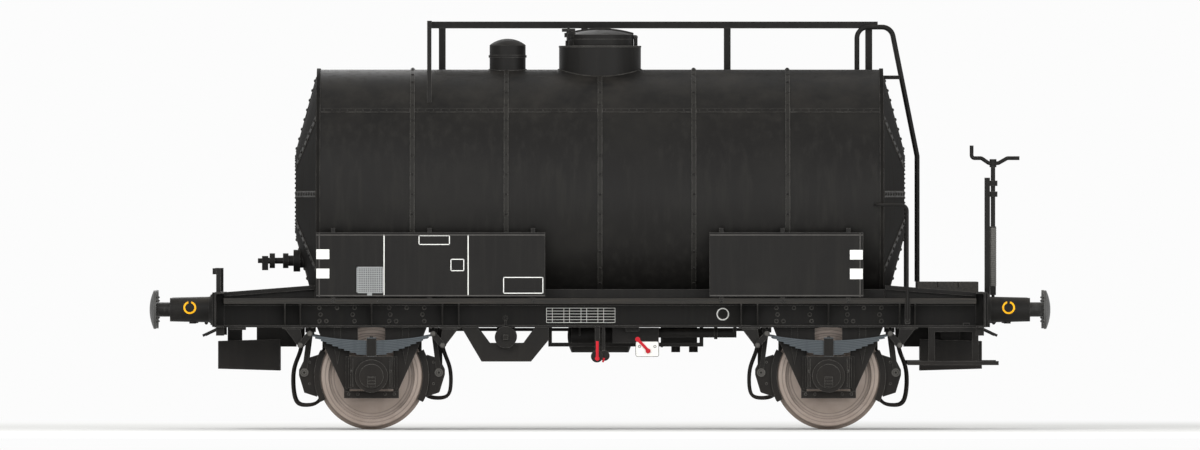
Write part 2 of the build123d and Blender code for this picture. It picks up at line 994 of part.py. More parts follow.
def wedge_top(x):
    """Height of the end wedge's sloping top at a place along the wagon."""
    x0 = bearer_x + wedge_gap
    return sole_z1 + wedge_h - wedge_drop * (x - x0) / (frame_x - x0)


def platform_end():
    """Outer edge of the end platform."""
    pitch = platform_plank_w + platform_plank_gap
    return platform_x0 + platform_planks * pitch - platform_plank_gap


def end_platform():
    """Planks across the wagon on tapered packings over the end wedges and the headstock."""
    half = sole_y1 - plank_gap
    z1 = platform_level()
    z0 = z1 - platform_t
    outline = (
        (platform_x0, wedge_top(platform_x0)), (frame_x, wedge_top(frame_x)), (frame_x, head_z1),
        (platform_end(), head_z1), (platform_end(), z0), (platform_x0, z0),
    )
    packing = side_plate(outline, half - platform_bar_t, half)
    platform = packing + mirror(packing, about=Plane.XZ)
    for step in range(platform_planks):
        x0 = platform_x0 + step * (platform_plank_w + platform_plank_gap)
        platform = platform + block(x0, x0 + platform_plank_w, -half, half, z0, z1)
    return [platform]


# Handbrake

def handbrake_post():
    """Channel post on the headstock with two collars that guide the spindle."""
    x0, x1 = head_x, head_x + brake_post_w
    y0, y1 = brake_y - brake_post_t / 2, brake_y + brake_post_t / 2
    z1 = sole_z0 + brake_post_h
    post = block(x0, x1, y0, y1, sole_z0, z1)
    hollow = block(x0 + brake_post_wall, x1, y0 + brake_post_wall, y1 - brake_post_wall, head_z1, z1)
    post = post - hollow
    spindle_x = head_x + spindle_out
    collar_top = z1 - collar_inset
    for level in (collar_top, collar_top - collar_pitch):
        low = level - collar_out_h
        arm = block(x0, spindle_x, y0 + brake_post_wall, y1 - brake_post_wall, low, level)
        ring = rod((spindle_x, brake_y, low), (spindle_x, brake_y, level), spindle_r + collar_wall)
        post = post + arm + ring
    bore = rod((spindle_x, brake_y, sole_z0), (spindle_x, brake_y, z1), spindle_r + shank_clear)
    return [post - bore]


def handbrake_spindle():
    """Spindle with its screw, the nut and the rod that goes down to the lever."""
    x = head_x + spindle_out
    screw_z = sole_z0 + screw_low
    clevis_z = screw_z - clevis_h
    low = head_mid_z - brake_rod_low
    body = rod((x, brake_y, screw_z), (x, brake_y, sole_z0 + spindle_h), spindle_r)
    body = body + rod((x, brake_y, screw_z), (x, brake_y, screw_z + screw_len), screw_r)
    nut = block(x - clevis_w / 2, x + clevis_w / 2, brake_y - clevis_t / 2, brake_y + clevis_t / 2,
                clevis_z, screw_z)
    drop = rod((x, brake_y, low), (x, brake_y, clevis_z), brake_rod_r)
    lever = block(head_x + brake_post_w, x + clevis_w / 2, brake_y - clevis_t / 2, brake_y + clevis_t / 2,
                  low - brake_lever_h, low)
    return [body + nut + drop + lever]


def handbrake_crank():
    """Two-armed crank on top of the spindle, one arm with an upright grip."""
    x = head_x + spindle_out
    z0 = sole_z0 + spindle_h
    z1 = z0 + crank_hub_h
    hub = rod((x, brake_y, z0), (x, brake_y, z1), crank_hub_r)
    mid = (z0 + z1) / 2
    arm_z = z1 + crank_r / 2
    knee_share = 0.2
    high_share = 0.54
    long_arm = bent_bar((
        (x, brake_y, mid), (x + crank_long * knee_share, brake_y, mid),
        (x + crank_long * high_share, brake_y, arm_z), (x + crank_long, brake_y, arm_z),
    ), crank_r, crank_bend)
    short_arm = bent_bar((
        (x, brake_y, mid), (x - crank_short * knee_share, brake_y, mid),
        (x - crank_short * high_share, brake_y, arm_z), (x - crank_short, brake_y, arm_z),
        (x - crank_short, brake_y, arm_z + crank_grip),
    ), crank_r, crank_bend)
    return [hub + long_arm + short_arm]


def grab_rails():
    """Rails from the tank out past its end and down to the plank, each with an eye at the foot."""
    rail_x0, rail_x1 = rim_x - rail_in, rim_x + rail_out
    y = plank_y1 + rail_r + rail_gap
    top = sole_z1 + rail_rise
    foot = sole_z0 + rail_low
    points = (
        (rail_x0, tank_r - rail_bend, top), (rail_x0, y, top), (rail_x1, y, top), (rail_x1, y, foot),
    )
    rail = seated_on_tank(bent_bar(points, rail_r, rail_bend))
    eye = rod((rail_x1, plank_y1, foot), (rail_x1, plank_y1 + rail_eye_t, foot), rail_eye_r)
    drop = block(rail_x1 - rail_eye_r, rail_x1 + rail_eye_r, plank_y1 - rail_eye_t, plank_y1,
                 foot - rail_eye_r, sole_z1)
    return across([rail + eye + drop])


# Wheels and axles

def wheelset_axle(x):
    """Stepped axle with its journals."""
    seat_in = rim_gap / 2 + rim_w / 2 - hub_w / 2
    seat_out = seat_in + hub_w
    profile = (
        (-box_front(), 0), (-box_front(), journal_r), (-seat_out, journal_r), (-seat_out, seat_r),
        (-seat_in, seat_r), (-seat_in, axle_r), (seat_in, axle_r), (seat_in, seat_r),
        (seat_out, seat_r), (seat_out, journal_r), (box_front(), journal_r), (box_front(), 0),
    )
    return [turned_y(profile, x, axle_z)]


def wheelset_wheels(x):
    """Two disc wheels with flanges, rims and hubs."""
    back = rim_gap / 2
    face = back + rim_w
    mid = (back + face) / 2
    rim_in = tread_r - rim_t
    hub_in = mid - hub_w / 2
    hub_out = mid + hub_w / 2
    dish = mid + disc_dish
    flange_r = tread_r + flange_h
    chamfer = flange_h / 2
    tyre_in = tread_r - tyre_t
    fillet_r = rim_in - fillet_t
    web_ring_r = fillet_r - web_ring_t
    shares = (rim_in - web_ring_r) / (rim_in - hub_r)
    web_y0 = mid + disc_dish * shares
    profile = (
        (hub_in, seat_r), (hub_in, hub_r), (dish - disc_t, hub_r), (mid - disc_t, rim_in), (back, rim_in),
        (back, flange_r - chamfer), (back + chamfer, flange_r),
        (back + flange_w - chamfer, flange_r - chamfer / 2),
        (back + flange_w, tread_r), (face - chamfer, tread_r), (face, tread_r - chamfer), (face, tyre_in),
        (face - tyre_step, tyre_in), (face - tyre_step, rim_in), (web_y0 + fillet_rise, rim_in),
        (web_y0 + fillet_rise, fillet_r), (web_y0 + web_ring_rise, fillet_r),
        (web_y0 + web_ring_rise, web_ring_r),
        (web_y0, web_ring_r), (dish, hub_r), (hub_out, hub_r), (hub_out, seat_r),
    )
    return across([turned_y(profile, x, axle_z)])


def box_front():
    """Distance of the journal's end from the wagon's centre line."""
    return box_front_y - cover_t


def box_rear():
    """Distance of the axlebox's back from the wagon's centre line."""
    return rim_gap / 2 + rim_w / 2 + hub_w / 2 + wheel_clear


def axleboxes():
    """Plain bearing axleboxes that slide between the horns of the axle guards."""
    z0 = axle_z - box_low
    z1 = axle_z + box_high
    core = horn_half - 2 * box_slot_gap
    plate_in = web_y - guard_t - box_slot_gap
    plate_out = web_y + box_slot_gap
    body = block(-core, core, plate_in - box_lip_t, box_front_y, z0, z1)
    lips = block(-box_half, box_half, plate_out, plate_out + box_lip_t, z0, z1)
    lips = lips + block(-box_half, box_half, plate_in - box_lip_t, plate_in, z0, z1)
    round_cover = rod((0, box_front_y, axle_z), (0, box_front_y + cover_t, axle_z), cover_r)
    boss = rod((0, box_front_y + cover_t, axle_z), (0, box_front_y + cover_t + boss_t, axle_z), boss_r)
    rear = rod((0, box_rear(), axle_z), (0, box_front_y, axle_z), boss_r)
    for step in range(guide_steps):
        inset = (step + 1) * guide_inset
        front = plate_out + box_lip_t + (guide_steps - step) * guide_t
        half = box_half - inset
        lips = lips + block(-half, half, plate_out, front, z0 + inset / 2, z1 - inset / 2)
    lid_y = box_front_y + cover_t
    lid = block(-oil_lid_w / 2, oil_lid_w / 2, lid_y, lid_y + boss_t + oil_lid_t,
                axle_z - boss_r + oil_lid_t, axle_z - boss_r + oil_lid_t + oil_lid_h)
    bore = rod((0, box_rear(), axle_z), (0, box_front() + box_slot_gap, axle_z), journal_r + journal_clear)
    box = body + lips + round_cover + boss + rear + lid - bore
    boxes = []
    for x in (-axle_x, axle_x):
        boxes += across([Pos(x, 0, 0) * box])
    return boxes


def axle_guards(x):
    """Plate guards with horns round the axleboxes and a tie across their feet."""
    top = sole_z1 - sole_flange_t
    knee = axle_z + guard_knee_over
    foot = axle_z + guard_foot_over
    low = axle_z + guard_low_over
    horn_top = axle_z + horn_top_over
    outline = (
        (guard_top_half, top), (guard_top_half, sole_z0), (guard_knee_half, knee), (guard_foot_half, foot),
        (guard_foot_half, low), (horn_half, low), (horn_half, horn_top), (window_half, horn_top),
        (window_half, sole_z0), (-window_half, sole_z0), (-window_half, horn_top), (-horn_half, horn_top),
        (-horn_half, low), (-guard_foot_half, low), (-guard_foot_half, foot), (-guard_knee_half, knee),
        (-guard_top_half, sole_z0), (-guard_top_half, top),
    )
    plate = side_plate([(x + dx, z) for dx, z in outline], web_y - guard_t, web_y)
    tie = block(x - guard_foot_half, x + guard_foot_half, web_y, web_y + keeper_t, low, low + keeper_h)
    return across([plate + tie])


# Leaf springs and their hangers

def spring_seat_z():
    """Top of the axlebox, where the spring's buckle sits."""
    return axle_z + box_high


def leaf_profile(index, top_z):
    """Outline of one leaf as part of a ring; the lower leaves are shorter."""
    half = leaf_half - index * leaf_step
    bow = (leaf_half ** 2 + leaf_camber ** 2) / (2 * leaf_camber)
    centre_z = top_z + bow
    inner = bow + index * leaf_t
    outer = inner + leaf_t
    turn = math.asin(half / bow)
    start, end = math.sin(turn), math.cos(turn)
    upper = ThreePointArc(
        (-inner * start, 0, centre_z - inner * end), (0, 0, centre_z - inner),
        (inner * start, 0, centre_z - inner * end))
    lower = ThreePointArc(
        (outer * start, 0, centre_z - outer * end), (0, 0, centre_z - outer),
        (-outer * start, 0, centre_z - outer * end))
    right = Line(upper @ 1, lower @ 0)
    left = Line(lower @ 1, upper @ 0)
    return make_face(upper + right + lower + left)


def spring_top_z():
    """Top of the main leaf at the middle of the spring."""
    return spring_seat_z() + buckle_wall + leaf_count * leaf_t


def leaf_spring():
    """One spring at the middle of the wagon: leaves, buckle and end eyes."""
    spring = None
    for index in range(leaf_count):
        width = leaf_w - 2 * leaf_edge * (index % 2)
        face = Pos(0, spring_y - width / 2, 0) * leaf_profile(index, spring_top_z())
        leaf = extrude(face, amount=width, dir=(0, 1, 0))
        spring = leaf if spring is None else spring + leaf
    half_y = leaf_w / 2 + buckle_wall
    buckle = block(-buckle_w / 2, buckle_w / 2, spring_y - half_y, spring_y + half_y,
                   spring_seat_z(), spring_top_z() + buckle_over)
    spring = spring + buckle
    for side in (-1, 1):
        x, z = side * leaf_half, eye_z()
        spring = spring + rod((x, spring_y - leaf_w / 2, z), (x, spring_y + leaf_w / 2, z), eye_r)
        spring = spring - rod((x, spring_y - leaf_w, z), (x, spring_y + leaf_w, z), pin_r + journal_clear)
    return spring


def eye_z():
    """Height of the spring's end eyes."""
    return spring_top_z() + leaf_camber - leaf_t / 2 + eye_r / 2


def leaf_springs():
    """Springs on all four axleboxes."""
    spring = leaf_spring()
    return across([Pos(x, 0, 0) * spring for x in (-axle_x, axle_x)])


def spring_shackles():
    """Pairs of links with two pins, between the spring eyes and the brackets."""
    y0 = leaf_w / 2 + pin_head_t / 2
    y1 = y0 + shackle_t
    eye = (leaf_half, eye_z())
    length = math.hypot(shackle_dx, shackle_drop)
    lean = math.degrees(math.atan2(shackle_dx, shackle_drop))
    half = shackle_w / 2
    shackle = None
    for low, high in ((-y1, -y0), (y0, y1)):
        link = block(-half, half, low, high, -length, 0)
        link = link + rod((0, low, 0), (0, high, 0), half) + rod((0, low, -length), (0, high, -length), half)
        shackle = link if shackle is None else shackle + link
    reach = y1 + pin_head_t
    for z in (0, -length):
        shackle = shackle + rod((0, -reach, z), (0, reach, z), pin_r)
        shackle = shackle + rod((0, -reach, z), (0, -y1, z), pin_head_r)
        shackle = shackle + rod((0, y1, z), (0, reach, z), pin_head_r)
    placed = Pos(eye[0], spring_y, eye[1]) * Rot(0, -lean, 0) * shackle
    shackles = []
    for x in (-axle_x, axle_x):
        shackles.append(Pos(x, 0, 0) * placed)
        shackles.append(Pos(x, 0, 0) * mirror(placed, about=Plane.YZ))
    return across(shackles)


def spring_brackets():
    """Brackets under the solebars that hold the shackles' lower pins."""
    x_pin = leaf_half + shackle_dx
    z_pin = eye_z() - shackle_drop
    nose = shackle_w / 2
    foot = sole_z0 - bracket_foot_t
    outline = (
        (x_pin - nose, z_pin), (x_pin, z_pin - nose), (x_pin + nose, z_pin), (x_pin + bracket_out, foot),
        (x_pin, foot),
    )
    web = side_plate(outline, spring_y - leaf_w / 2 + bracket_t / 2, spring_y + leaf_w / 2 - bracket_t / 2)
    pad = block(x_pin - nose, x_pin + bracket_out + nose, web_y, sole_y1, foot, sole_z0)
    bore = rod((x_pin, web_y, z_pin), (x_pin, sole_y1 + leaf_w, z_pin), pin_r + journal_clear)
    bracket = web + pad - bore
    brackets = []
    for x in (-axle_x, axle_x):
        brackets.append(Pos(x, 0, 0) * bracket)
        brackets.append(Pos(x, 0, 0) * mirror(bracket, about=Plane.YZ))
    return across(brackets)


# Buffers and draw gear

def buffer_housings():
    """Base plates with flared, bored casings."""
    y = buffer_gap / 2
    half = buffer_base_w / 2
    x0 = head_x + buffer_base_t
    x1 = x0 + buffer_flare
    x2 = x1 + casing_len
    plate = block(head_x, x0, y - half, y + half, head_mid_z - half, head_mid_z + half)
    profile = ((x0, 0), (x0, buffer_flare_r), (x1, casing_r0), (x2, casing_r1), (x2, 0))
    casing = turned_x(profile, y, head_mid_z)
    bore = rod((x2 - shank_in, y, head_mid_z), (x2 + shank_in, y, head_mid_z), shank_r + shank_clear)
    drain_x = x0 + drain_dx
    drain = rod((drain_x, y, head_mid_z - casing_r0 - drain_drop), (drain_x, y, head_mid_z), drain_r)
    return everywhere([plate + casing + drain - bore])


def buffer_plungers():
    """Shanks with crowned heads, seated in the casings' bores."""
    y = buffer_gap / 2
    x2 = head_x + buffer_base_t + buffer_flare + casing_len
    x3 = x2 + shank_out
    x4 = x3 + head_edge_t
    crown = x4 + head_crown
    wall = Polyline(
        (crown, y, head_mid_z), (x2 - shank_in, y, head_mid_z), (x2 - shank_in, y, head_mid_z + shank_r),
        (x3, y, head_mid_z + shank_r), (x3, y, head_mid_z + head_r), (x4, y, head_mid_z + head_r))
    half = head_r / 2
    arc = ThreePointArc(
        (x4, y, head_mid_z + head_r), (x4 + crown_rise(head_r, head_crown, half), y, head_mid_z + half),
        (crown, y, head_mid_z))
    plunger = revolve(make_face(wall + arc), Axis((0, y, head_mid_z), (1, 0, 0)))
    return everywhere([plunger])


def draw_hooks():
    """Forged hooks whose bars pass through the headstocks."""
    z = head_mid_z
    tip = head_x + hook_out
    half = hook_shank_h / 2
    x_neck = tip - 2 * hook_top
    outline = (
        (head_x, z - half), (x_neck, z - half), (tip - hook_nose, z - hook_top), (tip, z - half),
        (tip, z + hook_nose), (tip - hook_nose / 2, z + hook_top), (tip - hook_nose, z + hook_top),
        (tip - hook_nose, z + half / 2), (x_neck, z + half / 2), (x_neck - half, z + half), (head_x, z + half),
    )
    hook = side_plate(outline, -hook_t / 2, hook_t / 2)
    throat = rod((tip - hook_nose - hook_throat_r, -hook_t, z + half / 2),
                 (tip - hook_nose - hook_throat_r, hook_t, z + half / 2), hook_throat_r)
    eye_x = x_neck - half
    eye = rod((eye_x, -hook_t, z), (eye_x, hook_t, z), link_r + journal_clear)
    plate = block(head_x, head_x + hook_plate_t, -hook_plate_w / 2, hook_plate_w / 2,
                  z - hook_plate_w / 2, z + hook_plate_w / 2)
    return along([hook - throat - eye + plate])


def couplings():
    """Coupling links, pinned through the hooks and folded down short."""
    z = head_mid_z
    eye_x = head_x + hook_out - 2 * hook_top - hook_shank_h / 2
    low = z - link_drop + link_r
    y = link_gap / 2 + link_r
    side = bent_bar((
        (eye_x, y, z), (eye_x, y, low), (eye_x, -y, low), (eye_x, -y, z),
    ), link_r, link_gap / 2)
    pin = rod((eye_x, -y - link_r, z), (eye_x, y + link_r, z), link_r)
    return along([side + pin])


# Brake blocks, hangers, beams and safety loops

def brake_block(side):
    """Cast block against the tread, curved to the wheel, on the given side of its axle."""
    inner = tread_r + block_clear
    outer = inner + block_t
    turn = math.radians(block_half_angle)
    y0 = block_y - block_w / 2
    points = [(inner, -turn), (inner, 0), (inner, turn), (outer, turn), (outer, 0), (outer, -turn)]
    places = [(side * r * math.cos(a), y0, axle_z + r * math.sin(a)) for r, a in points]
    face = make_face(
        ThreePointArc(*places[0:3]) + Line(places[2], places[3]) + ThreePointArc(*places[3:6])
        + Line(places[5], places[0]))
    return extrude(face, amount=block_w, dir=(0, 1, 0))


def brake_blocks():
    """Blocks with their holders on both sides of every wheel."""
    blocks = []
    tip_share = 0.8
    back = tread_r + block_clear + block_t
    high = back * math.sin(math.radians(block_half_angle)) * tip_share
    pin_z = axle_z + beam_over
    mid_r = tread_r + block_clear + block_t / 2
    far_x = beam_dx + 2 * beam_r
    for side in (-1, 1):
        outline = (
            (side * mid_r, axle_z - high), (side * beam_dx, axle_z - high * tip_share),
            (side * far_x, pin_z - beam_r), (side * far_x, pin_z + beam_r),
            (side * beam_dx, axle_z + high * tip_share), (side * mid_r, axle_z + high),
        )
        holder = side_plate(outline, block_y - holder_t / 2, block_y + holder_t / 2)
        inner_r = tread_r + block_clear + leaf_edge
        inner_space = rod((0, block_y - block_w, axle_z), (0, block_y + block_w, axle_z), inner_r)
        bore = rod((side * beam_dx, 0, pin_z), (side * beam_dx, frame_x, pin_z), beam_r + journal_clear)
        shoe = brake_block(side) + (holder - inner_space) - bore
        for x in (-axle_x, axle_x):
            blocks.append(Pos(x, 0, 0) * shoe)
    return across(blocks)


def brake_beams():
    """Round beams across the wagon that carry the block holders."""
    reach = block_y + block_w / 2
    z = axle_z + beam_over
    beams = []
    for x in (-axle_x, axle_x):
        for side in (-1, 1):
            beams.append(rod((x + side * beam_dx, -reach, z), (x + side * beam_dx, reach, z), beam_r))
    return beams


def brake_hangers():
    """Flat links from brackets at the solebars down to the block holders."""
    low = axle_z + beam_over
    top = sole_z0 + hanger_gap - hanger_bracket_h / 2
    hangers = []
    y0 = block_y + holder_t / 2
    y1 = y0 + hanger_t
    half = hanger_w / 2
    for side in (-1, 1):
        outline = (
            (side * (beam_dx - half), low), (side * (hanger_top_dx - half), top),
            (side * (hanger_top_dx + half), top), (side * (beam_dx + half), low),
        )
        link = side_plate(outline, y0, y1)
        link = link + rod((side * beam_dx, y0, low), (side * beam_dx, y1, low), beam_r + hanger_t)
        link = link + rod((side * hanger_top_dx, y0, top), (side * hanger_top_dx, y1, top), half)
        link = link - rod((side * beam_dx, 0, low), (side * beam_dx, frame_x, low), beam_r + journal_clear)
        x = side * hanger_top_dx
        pin = rod((x, y0 - hanger_t, top), (x, y1 + hanger_t, top), pin_r)
        for x in (-axle_x, axle_x):
            hangers.append(Pos(x, 0, 0) * (link + pin))
    return across(hangers)


def hanger_brackets():
    """Brackets from the solebars in to the tops of the brake hangers."""
    top = sole_z0 + hanger_gap - hanger_bracket_h / 2
    z0, z1 = top - hanger_bracket_h / 2, top + hanger_bracket_h / 2
    y0 = block_y + holder_t / 2 + hanger_t + hanger_t / 2
    brackets = []
    for side in (-1, 1):
        x0 = side * hanger_top_dx - hanger_bracket_w / 2
        lug = block(x0, x0 + hanger_bracket_w, y0, y0 + hanger_t, z0, sole_z0)
        shelf = block(x0, x0 + hanger_bracket_w, y0, sole_y1, sole_z0 - bracket_foot_t / 2, sole_z0)
        bore = rod((side * hanger_top_dx, 0, top), (side * hanger_top_dx, frame_x, top), pin_r + journal_clear)
        for x in (-axle_x, axle_x):
            brackets.append(Pos(x, 0, 0) * (lug + shelf - bore))
    return across(brackets)


def safety_loops():
    """Bent bars from the middle sills round the brake beams."""
    y = cradle_y + loop_r
    top = sole_z0 + middle_h
    bend_z = axle_z + loop_top_over
    mid = axle_z + loop_mid_over
    loops = []
    for side, low_over in ((1, loop_low_outer), (-1, loop_low_inner)):
        low = axle_z + low_over
        points = (
            (side * loop_foot_out, y, top), (side * loop_foot_out, y, bend_z), (side * loop_out, y, mid),
            (side * (loop_out - loop_bend), y, low), (side * (loop_far_out + loop_bend), y, low),
            (side * loop_far_out, y, mid), (side * loop_far_out, y, top),
        )
        loops.append(Pos(axle_x, 0, 0) * bent_bar(points, loop_r, loop_bend / 2))
    return everywhere(loops)


# Brake gear in the middle of the wagon

def cradle():
    """Hanging frames under the middle sills, with bars across between them."""
    z1 = sole_z0 - cradle_drop
    z0 = z1 - cradle_h
    y0 = cradle_y - cradle_w
    side = block(cradle_x0, cradle_x1, y0, cradle_y, z0, z1)
    side = side + block(cradle_x0, cradle_x0 + cradle_h, y0, cradle_y, z0, sole_z0)
    side = side + block(cradle_x1 - cradle_h, cradle_x1, y0, cradle_y, z0, sole_z0)
    frame = side + mirror(side, about=Plane.XZ)
    for x in (cradle_x0, cradle_x1 - cradle_h):
        frame = frame + block(x, x + cradle_h, -cradle_y, cradle_y, z0, z1)
    return [frame]


def air_reservoir():
    """Cylindrical reservoir with crowned ends, on two plates from the middle sill."""
    z = sole_z0 - reservoir_drop
    x1 = reservoir_len / 2
    x0 = x1 - reservoir_dome
    half = reservoir_r / 2
    mid_x = x0 + crown_rise(reservoir_r, reservoir_dome, half)
    wall = Polyline((x1, 0, 0), (-x1, 0, 0))
    right = ThreePointArc((x0, 0, reservoir_r), (mid_x, 0, half), (x1, 0, 0))
    left = ThreePointArc((-x1, 0, 0), (-mid_x, 0, half), (-x0, 0, reservoir_r))
    top = Line((-x0, 0, reservoir_r), (x0, 0, reservoir_r))
    body = revolve(make_face(wall + left + top + right), Axis.X)
    body = Pos(0, reservoir_y, z) * body
    for x in (-reservoir_hanger_x, reservoir_hanger_x):
        x0, x1 = x - reservoir_hanger_t / 2, x + reservoir_hanger_t / 2
        body = body + block(x0, x1, -cradle_y, reservoir_y + reservoir_r / 2, z, sole_z0)
    return [body]


def brake_cylinder():
    """Brake cylinder with flanged covers, hung from the middle sill, and its push rod."""
    z = sole_z0 - cylinder_drop
    x0, x1 = cylinder_x - cylinder_len / 2, cylinder_x + cylinder_len / 2
    body = rod((x0, cylinder_y, z), (x1, cylinder_y, z), cylinder_r)
    cover_out_r = cylinder_r + cylinder_flange_lip
    for x in (x0, x1 - cylinder_flange_t):
        body = body + rod((x, cylinder_y, z), (x + cylinder_flange_t, cylinder_y, z), cover_out_r)
    for x in (x0 + cylinder_flange_t, x1 - 2 * cylinder_flange_t):
        bracket = block(x, x + cylinder_flange_t, cylinder_y, cradle_y - cradle_w, z, sole_z0)
        body = body + bracket
    for dx in plug_dx:
        x = cylinder_x + dx
        body = body + rod((x, cylinder_y, z - plug_drop), (x, cylinder_y, z - plug_drop - plug_h), plug_r)
    push = rod((x0 - lever_w, cylinder_y, z), (x0, cylinder_y, z), pull_rod_r)
    arm = block(x0 - lever_w - lever_t, x0 - lever_w, pull_rod_y - lever_w / 2, cylinder_y + lever_w / 2,
                z - lever_t, z + lever_t)
    return [body + push + arm]


def pull_rods():
    """Pull rod under the frame with an upright lever at each inner brake beam."""
    z = sole_z0 - pull_rod_drop
    x = axle_x - beam_dx
    low = axle_z + beam_over - lever_over
    y0, y1 = pull_rod_y - lever_t / 2, pull_rod_y + lever_t / 2
    bar = rod((-x, pull_rod_y, z), (x, pull_rod_y, z), pull_rod_r)
    reach = cylinder_x - cylinder_len / 2 - lever_w - lever_t
    link = block(reach, reach + lever_t, y0, y1, sole_z0 - cylinder_drop + lever_t, z)
    bar = bar + link
    for side in (-1, 1):
        lever = block(side * x - lever_w / 2, side * x + lever_w / 2, y0, y1,
                      low, z + lever_over / 2)
        bar = bar + lever
        bore = rod((side * x, 0, axle_z + beam_over), (side * x, frame_x, axle_z + beam_over),
                   beam_r + journal_clear)
        bar = bar - bore
    return [bar]


def relay_box():
    """Valve box under the near solebar."""
    z1 = sole_z0 - relay_foot
    z0 = sole_z0 - cradle_drop
    box = block(relay_x0, relay_x1, relay_y0, relay_y0 + relay_w, z0, z1)
    arm = block(relay_x0 + relay_w / 2, relay_x0 + relay_w, -web_y, relay_y0, z1 - cradle_h, sole_z0)
    inner = block(relay_x0 + relay_w / 2, relay_x0 + relay_w, relay_y0 + relay_w, -cradle_y, z0, z0 + cradle_h)
    return [box + arm + inner + brake_pipe()]


def brake_pipe():
    """Flanged pipe from the valve box to the cross-member."""
    z = sole_z0 - pipe_drop
    x0 = relay_x1
    x1 = cross_inner_x - cross_w / 2
    pipe = rod((x0, pipe_y, z), (x1, pipe_y, z), pipe_r)
    pipe_flange_x = cross_inner_x - pipe_flange_in
    pipe = pipe + rod((pipe_flange_x, pipe_y, z), (pipe_flange_x + pipe_flange_t, pipe_y, z), pipe_flange_r)
    hanger = block(x1 - pipe_flange_t, x1, pipe_y - pipe_r, pipe_y + pipe_r, z, sole_z0 + cross_t)
    return pipe + hanger


def release_lever():
    """Pull lever with a bulb under the near solebar, on a shaft across to the cradle."""
    z = sole_z0 - release_drop
    x0, x1 = release_x - release_w / 2, release_x + release_w / 2
    plate = block(x0, x1, release_y, release_y + release_t, z - release_h, z)
    low = z - release_h
    back = release_y + 2 * release_t
    plate = plate + rod((release_x, release_y, low), (release_x, back, low), release_bulb_r)
    high = z - release_w
    shaft = rod((release_x, release_y + release_t, high), (release_x, -cradle_y, high), release_w / 2)
    return [plate + shaft]


def changeover_plate():
    """Blank rounded plate on bars from the cradle."""
    z1 = sole_z0 - plate_drop
    outline = Rot(90, 0, 0) * RectangleRounded(plate_w, plate_h, plate_corner)
    plate = extrude(Pos(plate_x, release_y, z1 - plate_h / 2) * outline, amount=plate_t, dir=(0, 1, 0))
    z = z1 - cradle_h - 2 * release_t
    bars = []
    for x in (plate_x - plate_w / 4, plate_x + plate_w / 4):
        bar = block(x - release_t, x + release_t, release_y + plate_t, -cradle_y, z, z + 2 * release_t)
        bars.append(bar)
    return [plate + bars[0] + bars[1]]


def changeover_lever():
    """Slanted lever with a round pivot in front of the plate."""
    z = sole_z0 - changer_drop
    y1 = release_y
    y0 = y1 - release_t
    arm = block(0, changer_lever_len, y0, y1, -changer_lever_w / 2, changer_lever_w / 2)
    arm = arm + rod((0, y0, 0), (0, y1, 0), changer_pivot_r)
    return [Pos(changer_x, 0, z) * Rot(0, changer_turn, 0) * arm]


# Outlets

def outlet_pipes():
    """Bottom outlet: shoe on the tank, pipe across under the solebars, flanges, caps and cap screws."""
    z = sole_z0 - outlet_drop
    y_cap = sole_y1 + outlet_gap
    pipe = rod((outlet_x, -y_cap, z), (outlet_x, y_cap, z), outlet_pipe_r)
    neck = rod((outlet_x, 0, z), (outlet_x, 0, tank_z - tank_r + outlet_pipe_r), outlet_flange_r)
    neck = neck - Pos(0, 0, tank_z) * Rot(0, 90, 0) * Cylinder(tank_r, 2 * barrel_len)
    body = pipe + neck
    for side in (-1, 1):
        face = side * y_cap
        out = side * outlet_cap_t
        body = body + rod((outlet_x, face - side * outlet_flange_t, z), (outlet_x, face, z), outlet_flange_r)
        body = body + rod((outlet_x, face, z), (outlet_x, face + out, z), outlet_cap_r)
        nut0, nut1 = sorted((face + out, face + out + side * outlet_nut_t))
        body = body + block(outlet_x - outlet_nut / 2, outlet_x + outlet_nut / 2, nut0, nut1,
                            z - outlet_nut / 2, z + outlet_nut / 2)
    return [body]


def outlet_trays():
    """Open trapezoid plates round the side outlets, under the solebars."""
    outer_x = [outlet_x + dx for dx in tray_out_dx]
    inner_x = [outlet_x + dx for dx in tray_in_dx]
    outer = [(x, sole_z0 - drop) for x, drop in zip(outer_x, tray_out_drop)]
    outer.append((outer_x[3], sole_z0))
    low = sole_z0 - tray_in_drop
    inner = ((inner_x[0], sole_z0), (inner_x[1], low), (inner_x[2], low), (inner_x[3], sole_z0))
    plate = side_plate(outer, tray_y - tray_t, tray_y)
    opening = side_plate(inner, tray_y - 2 * tray_t, tray_y + tray_t)
    return across([plate - opening])


def end_outlet_valve():
    """Flanged outlet valve on the plain end of the tank, with a cap block and a knob."""
    z = tank_z + valve_over
    steps = (
        # radius, length
        (valve_root_r, valve_reach),
        (valve_flange_r, valve_flange_t),
        (valve_neck_r, valve_neck_len),
        (valve_mid_r, valve_mid_t),
        (valve_pipe_r, valve_pipe_len),
        (valve_mid_r, valve_tail_t),
        (valve_pipe_r, valve_tail_gap),
    )
    x = -rim_x
    body = None
    for radius, length in steps:
        piece = rod((x, 0, z), (x - length, 0, z), radius)
        body = piece if body is None else body + piece
        x = x - length
    low = z - valve_cap_low
    cap = block(x - valve_cap_w, x, -valve_mid_r / 2, valve_mid_r / 2, low, low + valve_cap_h)
    knob = rod((x - valve_cap_w - valve_knob_len, 0, z), (x - valve_cap_w, 0, z), valve_knob_r)
    body = body + cap + knob
    return [body - tank_ends()[1]]


# Equipment boxes, steps and small fittings

